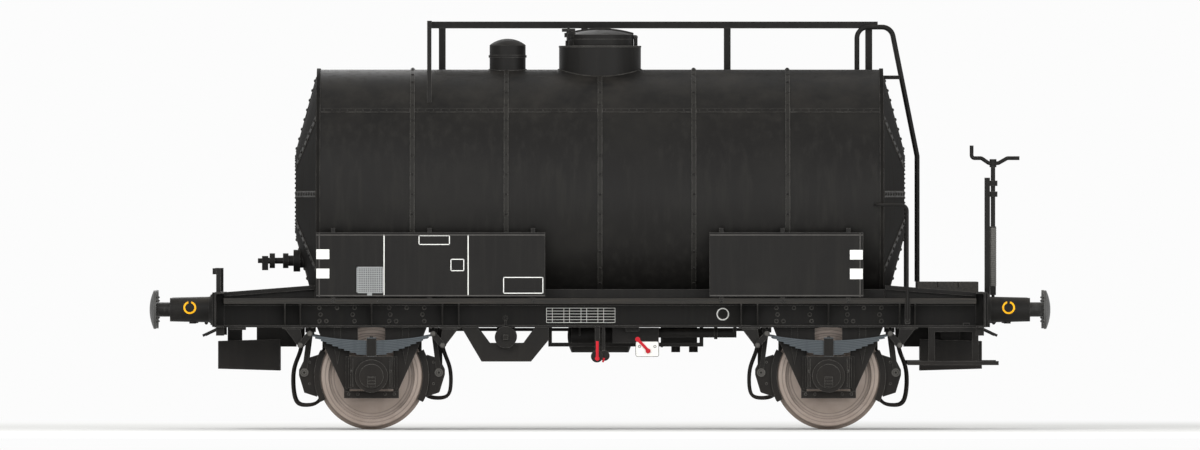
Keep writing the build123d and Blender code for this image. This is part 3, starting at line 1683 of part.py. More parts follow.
def equipment_boxes():
    """Boxes hung under the ends between the draft sills."""
    chest_x0, chest_x1 = cross_outer_x + chest_gap, head_x - chest_inset
    length = chest_x1 - chest_x0
    z1 = sole_z0 - chest_drop
    z0 = z1 - chest_h
    outline = (
        (chest_x0, z1), (chest_x1, z1 - chest_taper), (chest_x1, z0 + chest_taper), (chest_x0, z0))
    body = side_plate(outline, -chest_w / 2, chest_w / 2)
    y0 = draft_gap / 2
    bar_z = z1 - chest_taper
    plate_z = sole_z0 - chest_plate_h
    for y in (-y0 - middle_w, y0):
        for low, high in chest_bar_shares:
            x0, x1 = chest_x0 + length * low, chest_x0 + length * high
            body = body + block(x0, x1, y, y + middle_w, bar_z, sole_z0)
        body = body + block(chest_x0 - chest_plate_w, chest_x0, y, y + cross_t, plate_z, sole_z0)
    return along([body])


def end_steps():
    """Step boards below the platform end, on flat hangers from the solebars."""
    z0 = sole_z0 - step_drop - step_t
    y0 = sole_y1 - step_hanger_t
    step_x0, step_x1 = frame_x - step_in, head_x + step_out
    step_hanger_x = [frame_x - inset for inset in step_hanger_in]
    board = block(step_x0, step_x1, y0, y0 + step_w, z0, z0 + step_t)
    step = board
    for x in step_hanger_x:
        step = step + block(x - step_hanger_w / 2, x + step_hanger_w / 2, y0, sole_y1, z0, sole_z0)
    bar_x0 = step_hanger_x[0] - step_hanger_w / 2
    bar_x1 = step_hanger_x[1] + step_hanger_w / 2
    step = step + block(bar_x0, bar_x1, y0, sole_y1, sole_z0 - step_bar_h, sole_z0)
    return across([step])


def shunter_handles():
    """Blocks with slanted handles under the headstocks."""
    z1 = sole_z0
    z0 = z1 - handle_block_h
    y0 = handle_block_y
    x1 = head_x - step_hanger_t
    foot = block(x1 - handle_block_w, x1, y0, y0 + handle_block_w / 2, z0, z1)
    mid = y0 + handle_block_w / 4
    start = (x1 - handle_r, mid, z1 - handle_r)
    bar = rod(start, (x1 + handle_out + handle_r, mid, z1 - handle_r - handle_fall), handle_r)
    return everywhere([foot + bar])


def lamp_brackets():
    """Upright flat irons with a hooked fork on the valve-end headstock."""
    x1 = -frame_x - lamp_inset
    x0 = x1 - lamp_w
    z1 = head_z1 + lamp_h
    bar = block(x0, x1, lamp_y, lamp_y + lamp_t, head_z1, z1)
    fork = block(x0 - lamp_out, x0, lamp_y, lamp_y + lamp_t, z1 - lamp_fork_h, z1)
    notch_z = z1 - lamp_fork_h + lamp_t
    notch = block(x0 - lamp_out + lamp_t, x0, lamp_y - lamp_t, lamp_y + 2 * lamp_t, notch_z, z1)
    return across([bar + fork - notch])


def info_boards():
    """Blank lettering boards on both sides, held at their tops by hooks on the tank."""
    z0 = plank_z1
    z1 = z0 + board_rise + board_h
    tank_y = math.sqrt(tank_r ** 2 - (tank_z - z1) ** 2)
    boards = []
    groups = (
        (board_left_x0, board_left_x1, board_left_hooks),
        (board_right_x0, board_right_x1, board_right_hooks),
    )
    for x0, x1, hooks in groups:
        board = block(x0, x1, board_y, board_y + board_t, z0 + board_rise, z1)
        for x in hooks:
            h0, h1 = x - board_hook_w / 2, x + board_hook_w / 2
            foot = block(h0, h1, board_y - board_hook_t, board_y, z0, z0 + board_rise + board_hook_h)
            clip = block(h0, h1, board_y - board_hook_t, board_y, z1 - board_hook_h, z1 + board_hook_h)
            hook_z = z1 + board_hook_h
            arm = block(h0, h1, tank_y - board_hook_h, board_y, hook_z - board_hook_t, hook_z)
            board = board + foot + clip + seated_on_tank(arm)
        boards.append(board)
    return across(boards)


pieces = (
    # node name, solids
    ("solebars", solebars()),
    ("headstocks", headstocks()),
    ("cross_members", cross_members()),
    ("inner_sills", draft_sills() + middle_sills()),
    ("side_ribs", side_ribs()),
    ("side_planks", side_planks()),
    ("saddle_bearers", saddle_bearers()),
    ("end_wedges", end_wedges()),
    ("tank_barrel", tank_barrel()),
    ("tank_ends", tank_ends()),
    ("tank_bands", tank_bands()),
    ("manhole_dome", manhole_dome()),
    ("dome_fittings", dome_fittings()),
    ("manhole_lid", lid_with_clamp_lugs()),
    ("lid_bolts", lid_bolts()),
    ("vent_dome", vent_dome()),
    ("walkway_planks", walkway_planks()),
    ("walkway_supports", walkway_posts() + walkway_hoop()),
    ("ladder", ladder()),
    ("end_platform", end_platform()),
    ("handbrake_post", handbrake_post()),
    ("handbrake_spindle", handbrake_spindle()),
    ("handbrake_crank", handbrake_crank()),
    ("grab_rails", grab_rails()),
    ("axle_valve_end", wheelset_axle(-axle_x)),
    ("wheels_valve_end", wheelset_wheels(-axle_x)),
    ("axle_brake_end", wheelset_axle(axle_x)),
    ("wheels_brake_end", wheelset_wheels(axle_x)),
    ("axleboxes", axleboxes()),
    ("axle_guards_valve_end", axle_guards(-axle_x)),
    ("axle_guards_brake_end", axle_guards(axle_x)),
    ("leaf_springs", leaf_springs()),
    ("spring_shackles", spring_shackles()),
    ("spring_brackets", spring_brackets()),
    ("buffer_housings", buffer_housings()),
    ("buffer_plungers", buffer_plungers()),
    ("draw_hooks", draw_hooks()),
    ("couplings", couplings()),
    ("brake_blocks", brake_blocks()),
    ("brake_beams", brake_beams()),
    ("brake_hangers", brake_hangers()),
    ("hanger_brackets", hanger_brackets()),
    ("safety_loops", safety_loops()),
    ("cradle", cradle()),
    ("air_reservoir", air_reservoir()),
    ("brake_cylinder", brake_cylinder()),
    ("pull_rods", pull_rods()),
    ("relay_box", relay_box()),
    ("changeover_plate", changeover_plate()),
    ("brake_levers", release_lever() + changeover_lever()),
    ("outlet_pipes", outlet_pipes()),
    ("outlet_trays", outlet_trays()),
    ("end_outlet_valve", end_outlet_valve()),
    ("equipment_boxes", equipment_boxes()),
    ("end_steps", end_steps()),
    ("shunter_handles", shunter_handles()),
    ("lamp_brackets", lamp_brackets()),
    ("info_boards", info_boards()),
)

os.makedirs("parts", exist_ok=True)
for name, shapes in pieces:
    solids = [solid for shape in shapes for solid in shape.solids()]
    export_step(Compound(solids), "parts/" + name + ".step")
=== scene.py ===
# %% [markdown]
# # Dressing a two-axle tank wagon
# The wagon's solids come packed, one object for each node, and they already have their size and place.
# This lesson gives them their finishes and adds what is too fine for solids: rivets, bolts, threads,
# board frames and painted marks. Lengths are in metres and +X points to the handbrake end.

# %% Load the frame
import bmesh
import bpy
import json
import math
import numpy as np
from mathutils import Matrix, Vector

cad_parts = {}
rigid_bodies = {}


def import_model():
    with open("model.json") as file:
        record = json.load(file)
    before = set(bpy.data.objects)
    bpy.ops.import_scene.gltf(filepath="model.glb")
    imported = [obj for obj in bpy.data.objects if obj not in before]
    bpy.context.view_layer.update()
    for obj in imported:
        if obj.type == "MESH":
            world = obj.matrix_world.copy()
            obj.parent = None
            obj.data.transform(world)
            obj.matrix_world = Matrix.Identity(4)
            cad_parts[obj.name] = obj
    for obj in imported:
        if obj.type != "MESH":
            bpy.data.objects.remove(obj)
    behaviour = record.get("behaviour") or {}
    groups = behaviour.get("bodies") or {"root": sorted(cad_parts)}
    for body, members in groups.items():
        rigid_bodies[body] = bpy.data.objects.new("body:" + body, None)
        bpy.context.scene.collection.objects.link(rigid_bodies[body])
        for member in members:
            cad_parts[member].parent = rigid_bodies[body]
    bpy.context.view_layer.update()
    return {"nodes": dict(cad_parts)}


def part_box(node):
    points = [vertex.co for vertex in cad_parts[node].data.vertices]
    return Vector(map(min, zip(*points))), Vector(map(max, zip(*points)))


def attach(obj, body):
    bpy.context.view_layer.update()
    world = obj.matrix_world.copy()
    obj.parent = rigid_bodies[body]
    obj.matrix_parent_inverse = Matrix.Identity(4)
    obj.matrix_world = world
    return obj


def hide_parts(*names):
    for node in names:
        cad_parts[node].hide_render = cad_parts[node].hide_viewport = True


for leftover in list(bpy.data.objects):
    bpy.data.objects.remove(leftover)
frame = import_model()

# %% [markdown]
# ## Shapes as points and faces
# A rivet or a bolt is made hundreds of times. An object for each would be slow, and an array modifier
# can't follow a cone or a frame. So every small shape is a pair of points and faces, made once round
# its own Z axis, copied to each place by plain arithmetic, and joined into one mesh for each group.

# %% Join sections, and turn a profile round Z
def lofted(sections, closed=False):
    """A solid through sections of as many points each, capped at both ends or closed to a ring."""
    count, wide = len(sections), len(sections[0])
    faces = []
    for i in range(count if closed else count - 1):
        here, there = wide * i, wide * ((i + 1) % count)
        for k in range(wide):
            n = (k + 1) % wide
            faces.append((here + k, here + n, there + n, there + k))
    if not closed:
        faces += [tuple(range(wide))[::-1], tuple(wide * (count - 1) + k for k in range(wide))]
    return np.array(sections, float).reshape(-1, 3), faces


def turned(profile, sides=12):
    """A solid of revolution from (radius, height) pairs that start and end on the axis or on a rim."""
    turns = [2 * math.pi * i / sides for i in range(sides)]
    return lofted([[(r * math.cos(a), r * math.sin(a), h) for a in turns] for r, h in profile])


def dome_head(radius, height, sides=10, rings=3):
    """A round rivet head standing on the plane Z = 0."""
    steps = [math.pi / 2 * i / rings for i in range(rings + 1)]
    profile = [(radius * max(math.cos(s), 0.05), height * math.sin(s)) for s in steps]
    return turned([(radius, -height / 2), *profile], sides)


def bolt_head(radius, height):
    """A hexagon head with a bevelled top, on a round washer."""
    washer, nut = radius * 1.35, height * 0.3
    disc = turned([(washer, -nut), (washer, nut * 0.8), (washer * 0.94, nut)], 12)
    head = turned([(radius, nut * 0.9), (radius, height * 0.85), (radius * 0.82, height)], 6)
    return joined([disc, head])


# %% Copy, place and join
def joined(shapes):
    """Several shapes as one."""
    points, faces, start = [], [], 0
    for shape_points, shape_faces in shapes:
        points.append(shape_points)
        faces += [tuple(start + i for i in face) for face in shape_faces]
        start += len(shape_points)
    return np.concatenate(points), faces


def placed(shape, origin, normal=(0, 0, 1)):
    """The shape with its Z along normal, its Y as upright as can be, and its zero at origin."""
    z = Vector(normal).normalized()
    x = Vector((0, 0, 1)).cross(z)
    x = x.normalized() if x.length > 1e-6 else z.orthogonal().normalized()
    y = z.cross(x)
    turn = np.array([x, y, z])
    return shape[0] @ turn + np.array(origin), shape[1]


def block(low, high):
    """A box between two corners, whose edges the paint's wear picks out."""
    (x0, y0, z0), (x1, y1, z1) = low, high
    return lofted([[(x, y0, z0), (x, y1, z0), (x, y1, z1), (x, y0, z1)] for x in (x0, x1)])


def about(middle, half):
    """The two ends of a span round its middle."""
    return middle - half, middle + half


def side_block(side, x, y, z):
    """A box on one side of the wagon. Its spans are pairs, and y counts outwards from the middle."""
    near, far = sorted((side * y[0], side * y[1]))
    return block((x[0], near, z[0]), (x[1], far, z[1]))


def on_side(side, shape, x, y, z):
    """A shape that faces outwards on one side of the wagon, y from its middle."""
    return placed(shape, (x, side * y, z), (0, side, 0))


def side_bolt(side, x, y, z, radius, height):
    """A bolt head that faces outwards on one side of the wagon."""
    return on_side(side, bolt_head(radius, height), x, y, z)


def ring(inner, outer, thick, sides=40, start=0.0, sweep=2 * math.pi):
    """A flat ring or part of one, round Z, standing on the plane Z = 0."""
    whole = abs(sweep - 2 * math.pi) < 1e-6
    turns = [start + sweep * i / sides for i in range(sides if whole else sides + 1)]
    section = [(inner, 0), (inner, thick), (outer, thick), (outer, 0)]
    return lofted([[(r * math.cos(a), r * math.sin(a), h) for r, h in section] for a in turns], whole)


def strip(path, width, thick, normals, closed=False):
    """A flat bar that follows path, width across it and thick along its normals."""
    path, normals = np.array(path, float), np.array(normals, float)
    ahead = np.roll(path, -1, 0) - np.roll(path, 1, 0)
    if not closed:
        ahead[0], ahead[-1] = path[1] - path[0], path[-1] - path[-2]
    ahead /= np.linalg.norm(ahead, axis=1)[:, None]
    aside, raised = np.cross(ahead, normals) * width / 2, path + normals * thick
    return lofted(np.stack((path - aside, raised - aside, raised + aside, path + aside), 1), closed)


def side_prism(outline, y0, y1):
    """A plate with an (x, z) outline that reaches from y0 to y1."""
    return lofted([[(x, y, z) for x, z in outline] for y in (y0, y1)])


# %% Places at both ends and on both sides
ENDS = SIDES = WAYS = (-1, 1)
QUARTERS = [(end, side) for end in ENDS for side in SIDES]
EIGHTHS = [(end, way, side) for end in ENDS for way in WAYS for side in SIDES]
print("quarters", QUARTERS)

# %% Hand a shape to Blender
def add_piece(name, shapes, material, body="wagon", smooth=False, bevel=0.0):
    """One mesh object of these shapes, which rides on a body of the frame."""
    points, faces = joined(shapes)
    mesh = bpy.data.meshes.new(name)
    mesh.from_pydata([tuple(p) for p in points], [], faces)
    mesh.validate()
    outward = bmesh.new()
    outward.from_mesh(mesh)
    bmesh.ops.recalc_face_normals(outward, faces=outward.faces)
    outward.to_mesh(mesh)
    outward.free()
    mesh.materials.append(material)
    if smooth:
        mesh.shade_smooth()
        mesh.set_sharp_from_angle(angle=math.radians(32))
    piece = bpy.data.objects.new(name, mesh)
    if bevel:
        rounded = piece.modifiers.new("rounded edges", "BEVEL")
        rounded.width, rounded.segments, rounded.limit_method = bevel, 2, "ANGLE"
    bpy.context.scene.collection.objects.link(piece)
    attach(piece, body)
    print(name, len(points), "points")


# %% [markdown]
# ## Effects that several finishes share
# Old rolling stock shows the same few things everywhere: paint rubbed to a paler line along its
# edges, dust on what faces up, brake dirt low down, and small waves in plate and paint. Each is a
# shader group with named sockets, built once and given its own values wherever it is used.

# %% Write a node tree in short calls
class Wiring:
    """Adds nodes to one tree. Values given to a socket may be numbers, colours or other sockets."""

    def __init__(self, tree):
        self.tree = tree

    def feed(self, socket, value):
        if isinstance(value, bpy.types.NodeSocket):
            self.tree.links.new(value, socket)
        else:
            socket.default_value = value

    def fill(self, made, sockets):
        """Feeds the sockets of a node, which go by label or number."""
        for label, value in dict(sockets).items():
            self.feed(made.inputs[label], value)
        return made

    def node(self, kind, sockets=(), **settings):
        made = self.tree.nodes.new("ShaderNode" + kind)
        for key, value in settings.items():
            setattr(made, key, value)
        return self.fill(made, sockets)

    def sum(self, operation, first, second=0.0, clamp=False):
        return self.node("Math", {0: first, 1: second}, operation=operation, use_clamp=clamp).outputs[0]

    def vector(self, operation, first, second):
        made = self.node("VectorMath", {0: first, 1: second}, operation=operation)
        return made.outputs["Value" if operation in ("DOT_PRODUCT", "LENGTH") else "Vector"]

    def ramp(self, value, low, high, first=0.0, last=1.0):
        sockets = {"Value": value, "From Min": low, "From Max": high, "To Min": first, "To Max": last}
        return self.node("MapRange", sockets, interpolation_type="SMOOTHSTEP").outputs["Result"]

    def tint(self, share, first, second):
        sockets = {"Factor": share, 6: first, 7: second}
        return self.node("Mix", sockets, data_type="RGBA", blend_type="MIX").outputs[2]

    def noise(self, place, scale, detail=3.0, rough=0.5):
        sockets = {"Vector": place, "Scale": scale, "Detail": detail, "Roughness": rough}
        return self.node("TexNoise", sockets).outputs["Fac"]

    def place(self):
        """Where a point lies on the object at rest, in metres."""
        return self.node("TexCoord").outputs["Object"]

    def split(self, value):
        return self.node("SeparateXYZ", {0: value}).outputs

    def relief(self, shader, height, distance, strength):
        """Lets a height bend the shader's normal, as if it stood distance proud."""
        bump = self.node("Bump", {"Height": height, "Distance": distance, "Strength": strength})
        self.feed(shader.inputs["Normal"], bump.outputs[0])

    def group(self, tree, **values):
        sockets = {label.replace("_", " ").capitalize(): value for label, value in values.items()}
        return self.node("Group", sockets, node_tree=tree).outputs


def new_material(name):
    """A material, its wiring and its surface shader."""
    material = bpy.data.materials.new(name)
    material.use_nodes = True
    return material, Wiring(material.node_tree), material.node_tree.nodes["Principled BSDF"]


def new_group(name, inputs, outputs):
    """A shader group with named sockets, as its wiring and its two end nodes."""
    tree = bpy.data.node_groups.new(name, "ShaderNodeTree")
    for label, kind, value in inputs:
        made = tree.interface.new_socket(name=label, in_out="INPUT", socket_type="NodeSocket" + kind)
        made.default_value = value
    for label, kind in outputs:
        tree.interface.new_socket(name=label, in_out="OUTPUT", socket_type="NodeSocket" + kind)
    return Wiring(tree), tree.nodes.new("NodeGroupInput"), tree.nodes.new("NodeGroupOutput")


# %% [markdown]
# ### Edge wear
# Hands, rain and rubbing parts wear paint first along its edges. The shader can find an edge by
# bending its normal as if the edge were rounded, and comparing that with the flat one. Noise breaks
# the line up, so that it doesn't look drawn.

# %% Group: edge wear
edge, given, out = new_group(
    "edge wear",
    [("Width", "Float", 0.004), ("Amount", "Float", 1.0)],
    [("Edge", "Float")],
)
rounded = edge.node("Bevel", {"Radius": given.outputs["Width"]}, samples=4)
flat = edge.node("NewGeometry").outputs["Normal"]
bent = edge.sum("SUBTRACT", 1.0, edge.vector("DOT_PRODUCT", rounded.outputs[0], flat))
broken = edge.ramp(edge.noise(edge.place(), 9.0, 5.0, 0.65), 0.3, 0.62, 0.35, 1.0)
line = edge.sum("MULTIPLY", edge.ramp(bent, 0.01, 0.16), broken)
edge.feed(out.inputs["Edge"], edge.sum("MULTIPLY", line, given.outputs["Amount"], clamp=True))
edge_wear = edge.tree

# %% [markdown]
# ### Dust and brake dirt
# Dust settles on what faces up, and iron dust from the brake blocks clings to what is low. One mask
# comes from how much a surface faces up, the other from its height above the rail, and both are
# broken up by noise of a hand's size.

# %% Group: settled dirt
dirt, given, out = new_group(
    "settled dirt",
    [("Clean height", "Float", 1.3), ("Dirty height", "Float", 0.2), ("Patch size", "Float", 3.0)],
    [("Dust", "Float"), ("Brake dirt", "Float")],
)
spot = dirt.place()
patches = dirt.noise(spot, given.outputs["Patch size"], 6.0, 0.6)
facing = dirt.split(dirt.node("NewGeometry").outputs["Normal"])
upward = dirt.ramp(facing["Z"], 0.35, 1.0)
dirt.feed(out.inputs["Dust"], dirt.sum("MULTIPLY", upward, dirt.ramp(patches, 0.3, 0.75)))
low = dirt.ramp(dirt.split(spot)["Z"], given.outputs["Clean height"], given.outputs["Dirty height"])
dirt.feed(out.inputs["Brake dirt"], dirt.sum("MULTIPLY", low, dirt.ramp(patches, 0.25, 0.7, 0.35, 1.0)))
settled_dirt = dirt.tree

# %% [markdown]
# ### Paint on plate
# Rolled plate is never quite flat, brushed paint has a fine skin, and rain draws faint upright
# streaks down a side. Two noises of different size make the skin's height, and a third that is
# stretched along Z makes the streaks.

# %% Group: paint skin
skin, given, out = new_group(
    "paint skin",
    [("Colour", "Color", (0.02, 0.02, 0.02, 1)), ("Faded colour", "Color", (0.05, 0.05, 0.05, 1)),
     ("Wave size", "Float", 2.2), ("Grain", "Float", 160.0)],
    [("Colour", "Color"), ("Height", "Float"), ("Streaks", "Float")],
)
spot = skin.place()
waves = skin.noise(spot, given.outputs["Wave size"], 2.0, 0.4)
grain = skin.noise(spot, given.outputs["Grain"], 2.0)
height = skin.sum("ADD", waves, skin.sum("MULTIPLY", grain, 0.06))
stretched = skin.vector("MULTIPLY", spot, (9.0, 9.0, 0.7))
streaks = skin.ramp(skin.noise(stretched, 1.6, 4.0, 0.6), 0.42, 0.8)
faded = skin.ramp(skin.noise(spot, 1.1, 6.0, 0.62), 0.45, 0.85)
share = skin.sum("MAXIMUM", faded, streaks)
colour = skin.tint(share, given.outputs["Colour"], given.outputs["Faded colour"])
skin.fill(out, {"Colour": colour, "Height": height, "Streaks": streaks})
paint_skin = skin.tree
print("groups", [tree.name for tree in (edge_wear, settled_dirt, paint_skin)])

# %% [markdown]
# ## Finishes
# The wagon is painted one warm near-black, and only its wheels, springs, levers and small marks
# differ. Black paint on its own shows no form, so each finish needs paler edges, dust and a change
# of gloss. The colours are written as seen on a screen, from 0 to 255, and turned to linear light.

# %% Colours of the wagon
def tone(red, green, blue):
    """A screen colour as the linear colour that shaders work in."""
    shares = (red / 255, green / 255, blue / 255)
    return (*(s / 12.92 if s < 0.04045 else ((s + 0.055) / 1.055) ** 2.4 for s in shares), 1.0)


BLACK = tone(26, 25, 24)
FADED_BLACK = tone(35, 34, 32)
RUBBED = tone(92, 90, 87)
DUST = tone(112, 106, 97)
BRAKE_DIRT = tone(58, 50, 44)
WHEEL = tone(150, 137, 128)
WHEEL_DARK = tone(104, 93, 85)
SLATE = tone(80, 86, 90)
SLATE_DARK = tone(66, 71, 75)
SLATE_GAP = tone(36, 39, 41)
YELLOW = tone(250, 184, 30)
RED = tone(200, 32, 46)
WHITE = tone(236, 236, 232)
PALE_GREY = tone(150, 152, 152)


# %% A finish of paint over metal
def painted(name, colour, faded, worn=RUBBED, gloss=0.45, wear=0.5, edge_width=0.004,
            dust=0.22, grime=0.25, clean_height=1.25, wave=0.004, sheen=0.12):
    """Paint with its own skin, rubbed edges, dust above and brake dirt below."""
    material, w, shader = new_material(name)
    skin = w.group(paint_skin, colour=colour(w) if callable(colour) else colour, faded_colour=faded)
    edge = w.group(edge_wear, width=edge_width, amount=wear)["Edge"]
    dirt = w.group(settled_dirt, clean_height=clean_height)
    low = w.sum("MULTIPLY", dirt["Brake dirt"], grime)
    top = w.sum("MULTIPLY", dirt["Dust"], dust)
    shade = w.tint(top, w.tint(low, skin["Colour"], BRAKE_DIRT), DUST)
    rough = w.sum("ADD", w.ramp(skin["Streaks"], 0.0, 1.0, gloss, gloss + 0.12), w.sum("MULTIPLY", low, 0.3))
    rough = w.sum("ADD", rough, w.sum("MULTIPLY", top, 0.4), clamp=True)
    w.fill(shader, {"Base Color": w.tint(edge, shade, worn), "Roughness": rough, "Specular IOR Level": sheen})
    w.relief(shader, skin["Height"], wave, 0.6)
    return material


# %% Black finishes
high_up = {"dust": 0.1, "grime": 0.0}
tank_black = painted("tank black", BLACK, FADED_BLACK, gloss=0.46, wear=0.8, edge_width=0.008, **high_up)
cone_black = painted("tank end black", BLACK, FADED_BLACK, gloss=0.6, wear=0.8, edge_width=0.008, dust=0.0,
                     grime=0.0, sheen=0.02)
frame_black = painted("frame black", BLACK, FADED_BLACK, gloss=0.5, wear=0.95, edge_width=0.007, grime=0.2)
gear_black = painted("running gear black", BLACK, FADED_BLACK, worn=tone(102, 100, 96), gloss=0.56, wear=1.0,
                     grime=0.22, edge_width=0.006, clean_height=1.1, wave=0.002)
board_black = painted("board black", BLACK, FADED_BLACK, gloss=0.5, wear=0.9, edge_width=0.007, **high_up)
tank_seams = painted("tank seam black", tone(38, 37, 35), FADED_BLACK, worn=tone(104, 102, 98), gloss=0.46,
                     wear=1.0, edge_width=0.009, **high_up)

# %% Coloured finishes of levers, rings and plates
yellow_paint = painted("yellow mark", YELLOW, tone(226, 160, 20), worn=tone(250, 205, 90), wear=0.3, grime=0.1)
red_paint = painted("red lever paint", RED, tone(168, 26, 38), worn=tone(226, 96, 100), wear=0.4, grime=0.15)
white_paint = painted("white plate paint", WHITE, tone(222, 222, 216), worn=tone(250, 250, 250), wear=0.3,
                      grime=0.12, dust=0.1)

# %% Finishes of the small parts
small = {"edge_width": 0.002, "wave": 0.001}
washer_grey = painted("washer grey", tone(80, 78, 75), tone(92, 90, 86), worn=tone(120, 118, 113), gloss=0.5,
                      wear=0.8, edge_width=0.003, grime=0.1, clean_height=1.0, wave=0.001)
thread_steel = painted("greased screw", tone(92, 91, 88), tone(106, 104, 100), worn=tone(150, 148, 144),
                       gloss=0.35, wear=0.7, grime=0.1, **small)
board_line = painted("board edge line", tone(77, 75, 73), tone(88, 86, 83), worn=tone(120, 118, 113),
                     gloss=0.5, wear=0.5, **small, **high_up)
mesh_grey = painted("card holder grey", PALE_GREY, tone(136, 138, 138), worn=tone(184, 186, 185), gloss=0.5,
                    wear=0.4, **small, **high_up)
holder_grey = painted("card holder back", tone(92, 94, 94), tone(104, 106, 106), worn=PALE_GREY, gloss=0.55,
                      wear=0.3, wave=0.001, **high_up)

# %% [markdown]
# ### Spring leaves and buffer heads
# A spring's leaves are slate grey, and dark seams part them. The leaves are bent, so each seam lies at
# the height of its leaf and rises with the square of the distance from the axle. The buffers are one
# solid too: their shanks are black and their heads are rubbed grey where they meet other wagons.

# %% Slate leaves with dark seams between them
spring_high, box_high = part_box("leaf_springs")[1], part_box("axleboxes")[1]
box_half_x, eyes_over_leaves = 0.254, 0.091
spring_axle_x, spring_top = box_high[0] - box_half_x, spring_high[2] - eyes_over_leaves
leaf_half, leaf_camber, leaf_pitch = 0.607, 0.060, 0.016


def leaf_colour(w):
    """Slate, with a dark seam under each leaf that follows the leaves' bend."""
    spot = w.split(w.place())
    share = w.sum("DIVIDE", w.sum("SUBTRACT", w.sum("ABSOLUTE", spot["X"]), spring_axle_x), leaf_half)
    bend = w.sum("MULTIPLY", w.sum("MULTIPLY", share, share), leaf_camber)
    level = w.sum("SUBTRACT", w.sum("SUBTRACT", spot["Z"], spring_top), bend)
    step = w.sum("FRACT", w.sum("ADD", w.sum("DIVIDE", level, leaf_pitch), 40.0))
    seam = w.ramp(w.sum("ABSOLUTE", w.sum("SUBTRACT", step, 0.5)), 0.30, 0.44)
    return w.tint(seam, SLATE, SLATE_GAP)


def head_colour(w):
    """Rubbed grey on the buffer heads and black on the shanks behind them."""
    shank_end, head_back = 4.364, 4.372
    along = w.sum("ABSOLUTE", w.split(w.place())["X"])
    return w.tint(w.ramp(along, shank_end, head_back), BLACK, tone(70, 70, 69))


slate_paint = painted("spring slate", leaf_colour, SLATE_DARK, worn=tone(104, 110, 114), gloss=0.55, wear=0.35,
                      edge_width=0.003, grime=0.1, wave=0.002)
buffer_grey = painted("buffer head steel", head_colour, tone(84, 84, 82), worn=tone(140, 139, 136), gloss=0.38,
                      wear=0.6, grime=0.2)
print("painted finishes", len(bpy.data.materials))

# %% [markdown]
# ### Turned wheel steel
# The wheels are bare steel with a brown-grey film, turned on a lathe, so their faces show rings and
# their treads are rubbed bright. The distance from the axle line gives the rings: a fine wave of that
# distance is fed to the bump, and dark lines mark where flange, tyre, disc and hub meet.

# %% Finish: wheel steel
wheel_low, wheel_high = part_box("wheels_valve_end")
axle_x = -(wheel_low[0] + wheel_high[0]) / 2
axle_z = (wheel_low[2] + wheel_high[2]) / 2
tyre_r = (wheel_high[2] - wheel_low[2]) / 2
ring_radii = (0.498, 0.456, 0.423, 0.399, 0.371)
print("axles at", round(axle_x, 3), "high", round(axle_z, 3), "flange radius", round(tyre_r, 3))


def wheel_steel(name, centre_x):
    """Brown-grey turned steel with rings round the axle at centre_x."""
    material, w, shader = new_material(name)
    from_axle = w.vector("SUBTRACT", w.place(), (centre_x, 0, axle_z))
    radius = w.vector("LENGTH", w.vector("MULTIPLY", from_axle, (1, 0, 1)), (0, 0, 0))
    fine = w.sum("SINE", w.sum("MULTIPLY", radius, 900.0))
    skin = w.group(paint_skin, colour=WHEEL, faded_colour=tone(158, 145, 135), wave_size=5.0, grain=260.0)
    shade = skin["Colour"]
    for ring_r in ring_radii:
        line = w.ramp(w.sum("ABSOLUTE", w.sum("SUBTRACT", radius, ring_r)), 0.0025, 0.0065, 0.75, 0.0)
        shade = w.tint(line, shade, WHEEL_DARK)
    edge = w.group(edge_wear, width=0.004, amount=0.6)["Edge"]
    dirt = w.group(settled_dirt, clean_height=1.0, dirty_height=0.0, patch_size=7.0)
    shade = w.tint(w.sum("MULTIPLY", dirt["Brake dirt"], 0.35), shade, tone(96, 78, 64))
    w.fill(shader, {"Base Color": w.tint(edge, shade, tone(164, 154, 146)), "Metallic": 0.25,
                    "Roughness": w.ramp(skin["Streaks"], 0.0, 1.0, 0.5, 0.68)})
    w.relief(shader, w.sum("ADD", skin["Height"], w.sum("MULTIPLY", fine, 0.12)), 0.0015, 0.35)
    return material


wheel_valve_end = wheel_steel("wheel steel, valve end", -axle_x)
wheel_brake_end = wheel_steel("wheel steel, brake end", axle_x)

# %% [markdown]
# ### Stained planks
# The walkway, the end platform and the strips on the sills are softwood boards under old black
# stain. Grain is noise stretched about forty times along the board, with a slow wave that bends it.
# Worn stain lets a little brown through on top, where people step.

# %% Finish: stained planks
def stained_planks(name, along):
    """Dark stained boards whose grain runs along X or Y."""
    material, w, shader = new_material(name)
    stretch = (1.2, 46.0, 46.0) if along == "x" else (46.0, 1.2, 46.0)
    bent = w.vector("ADD", w.place(), w.vector("MULTIPLY", w.node("TexNoise").outputs["Color"], (0.02, 0.02, 0.02)))
    fibres = w.noise(w.vector("MULTIPLY", bent, stretch), 1.0, 6.0, 0.6)
    lines = w.ramp(fibres, 0.35, 0.7)
    dirt = w.group(settled_dirt, clean_height=1.0, patch_size=4.0)
    edge = w.group(edge_wear, width=0.005, amount=0.5)["Edge"]
    shade = w.tint(lines, tone(30, 29, 27), tone(52, 49, 45))
    shade = w.tint(w.sum("MULTIPLY", dirt["Dust"], 0.4), shade, tone(104, 94, 82))
    w.fill(shader, {"Base Color": w.tint(edge, shade, tone(98, 92, 84)), "Specular IOR Level": 0.25,
                    "Roughness": w.ramp(lines, 0.0, 1.0, 0.62, 0.82)})
    w.relief(shader, lines, 0.003, 0.7)
    return material


long_planks = stained_planks("planks along the wagon", "x")
cross_planks = stained_planks("planks across the wagon", "y")

# %% [markdown]
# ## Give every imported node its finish
# The nodes came in with plain slots. One table says which finish each node takes, and whatever it
# doesn't name is frame black, so that no node can be missed.

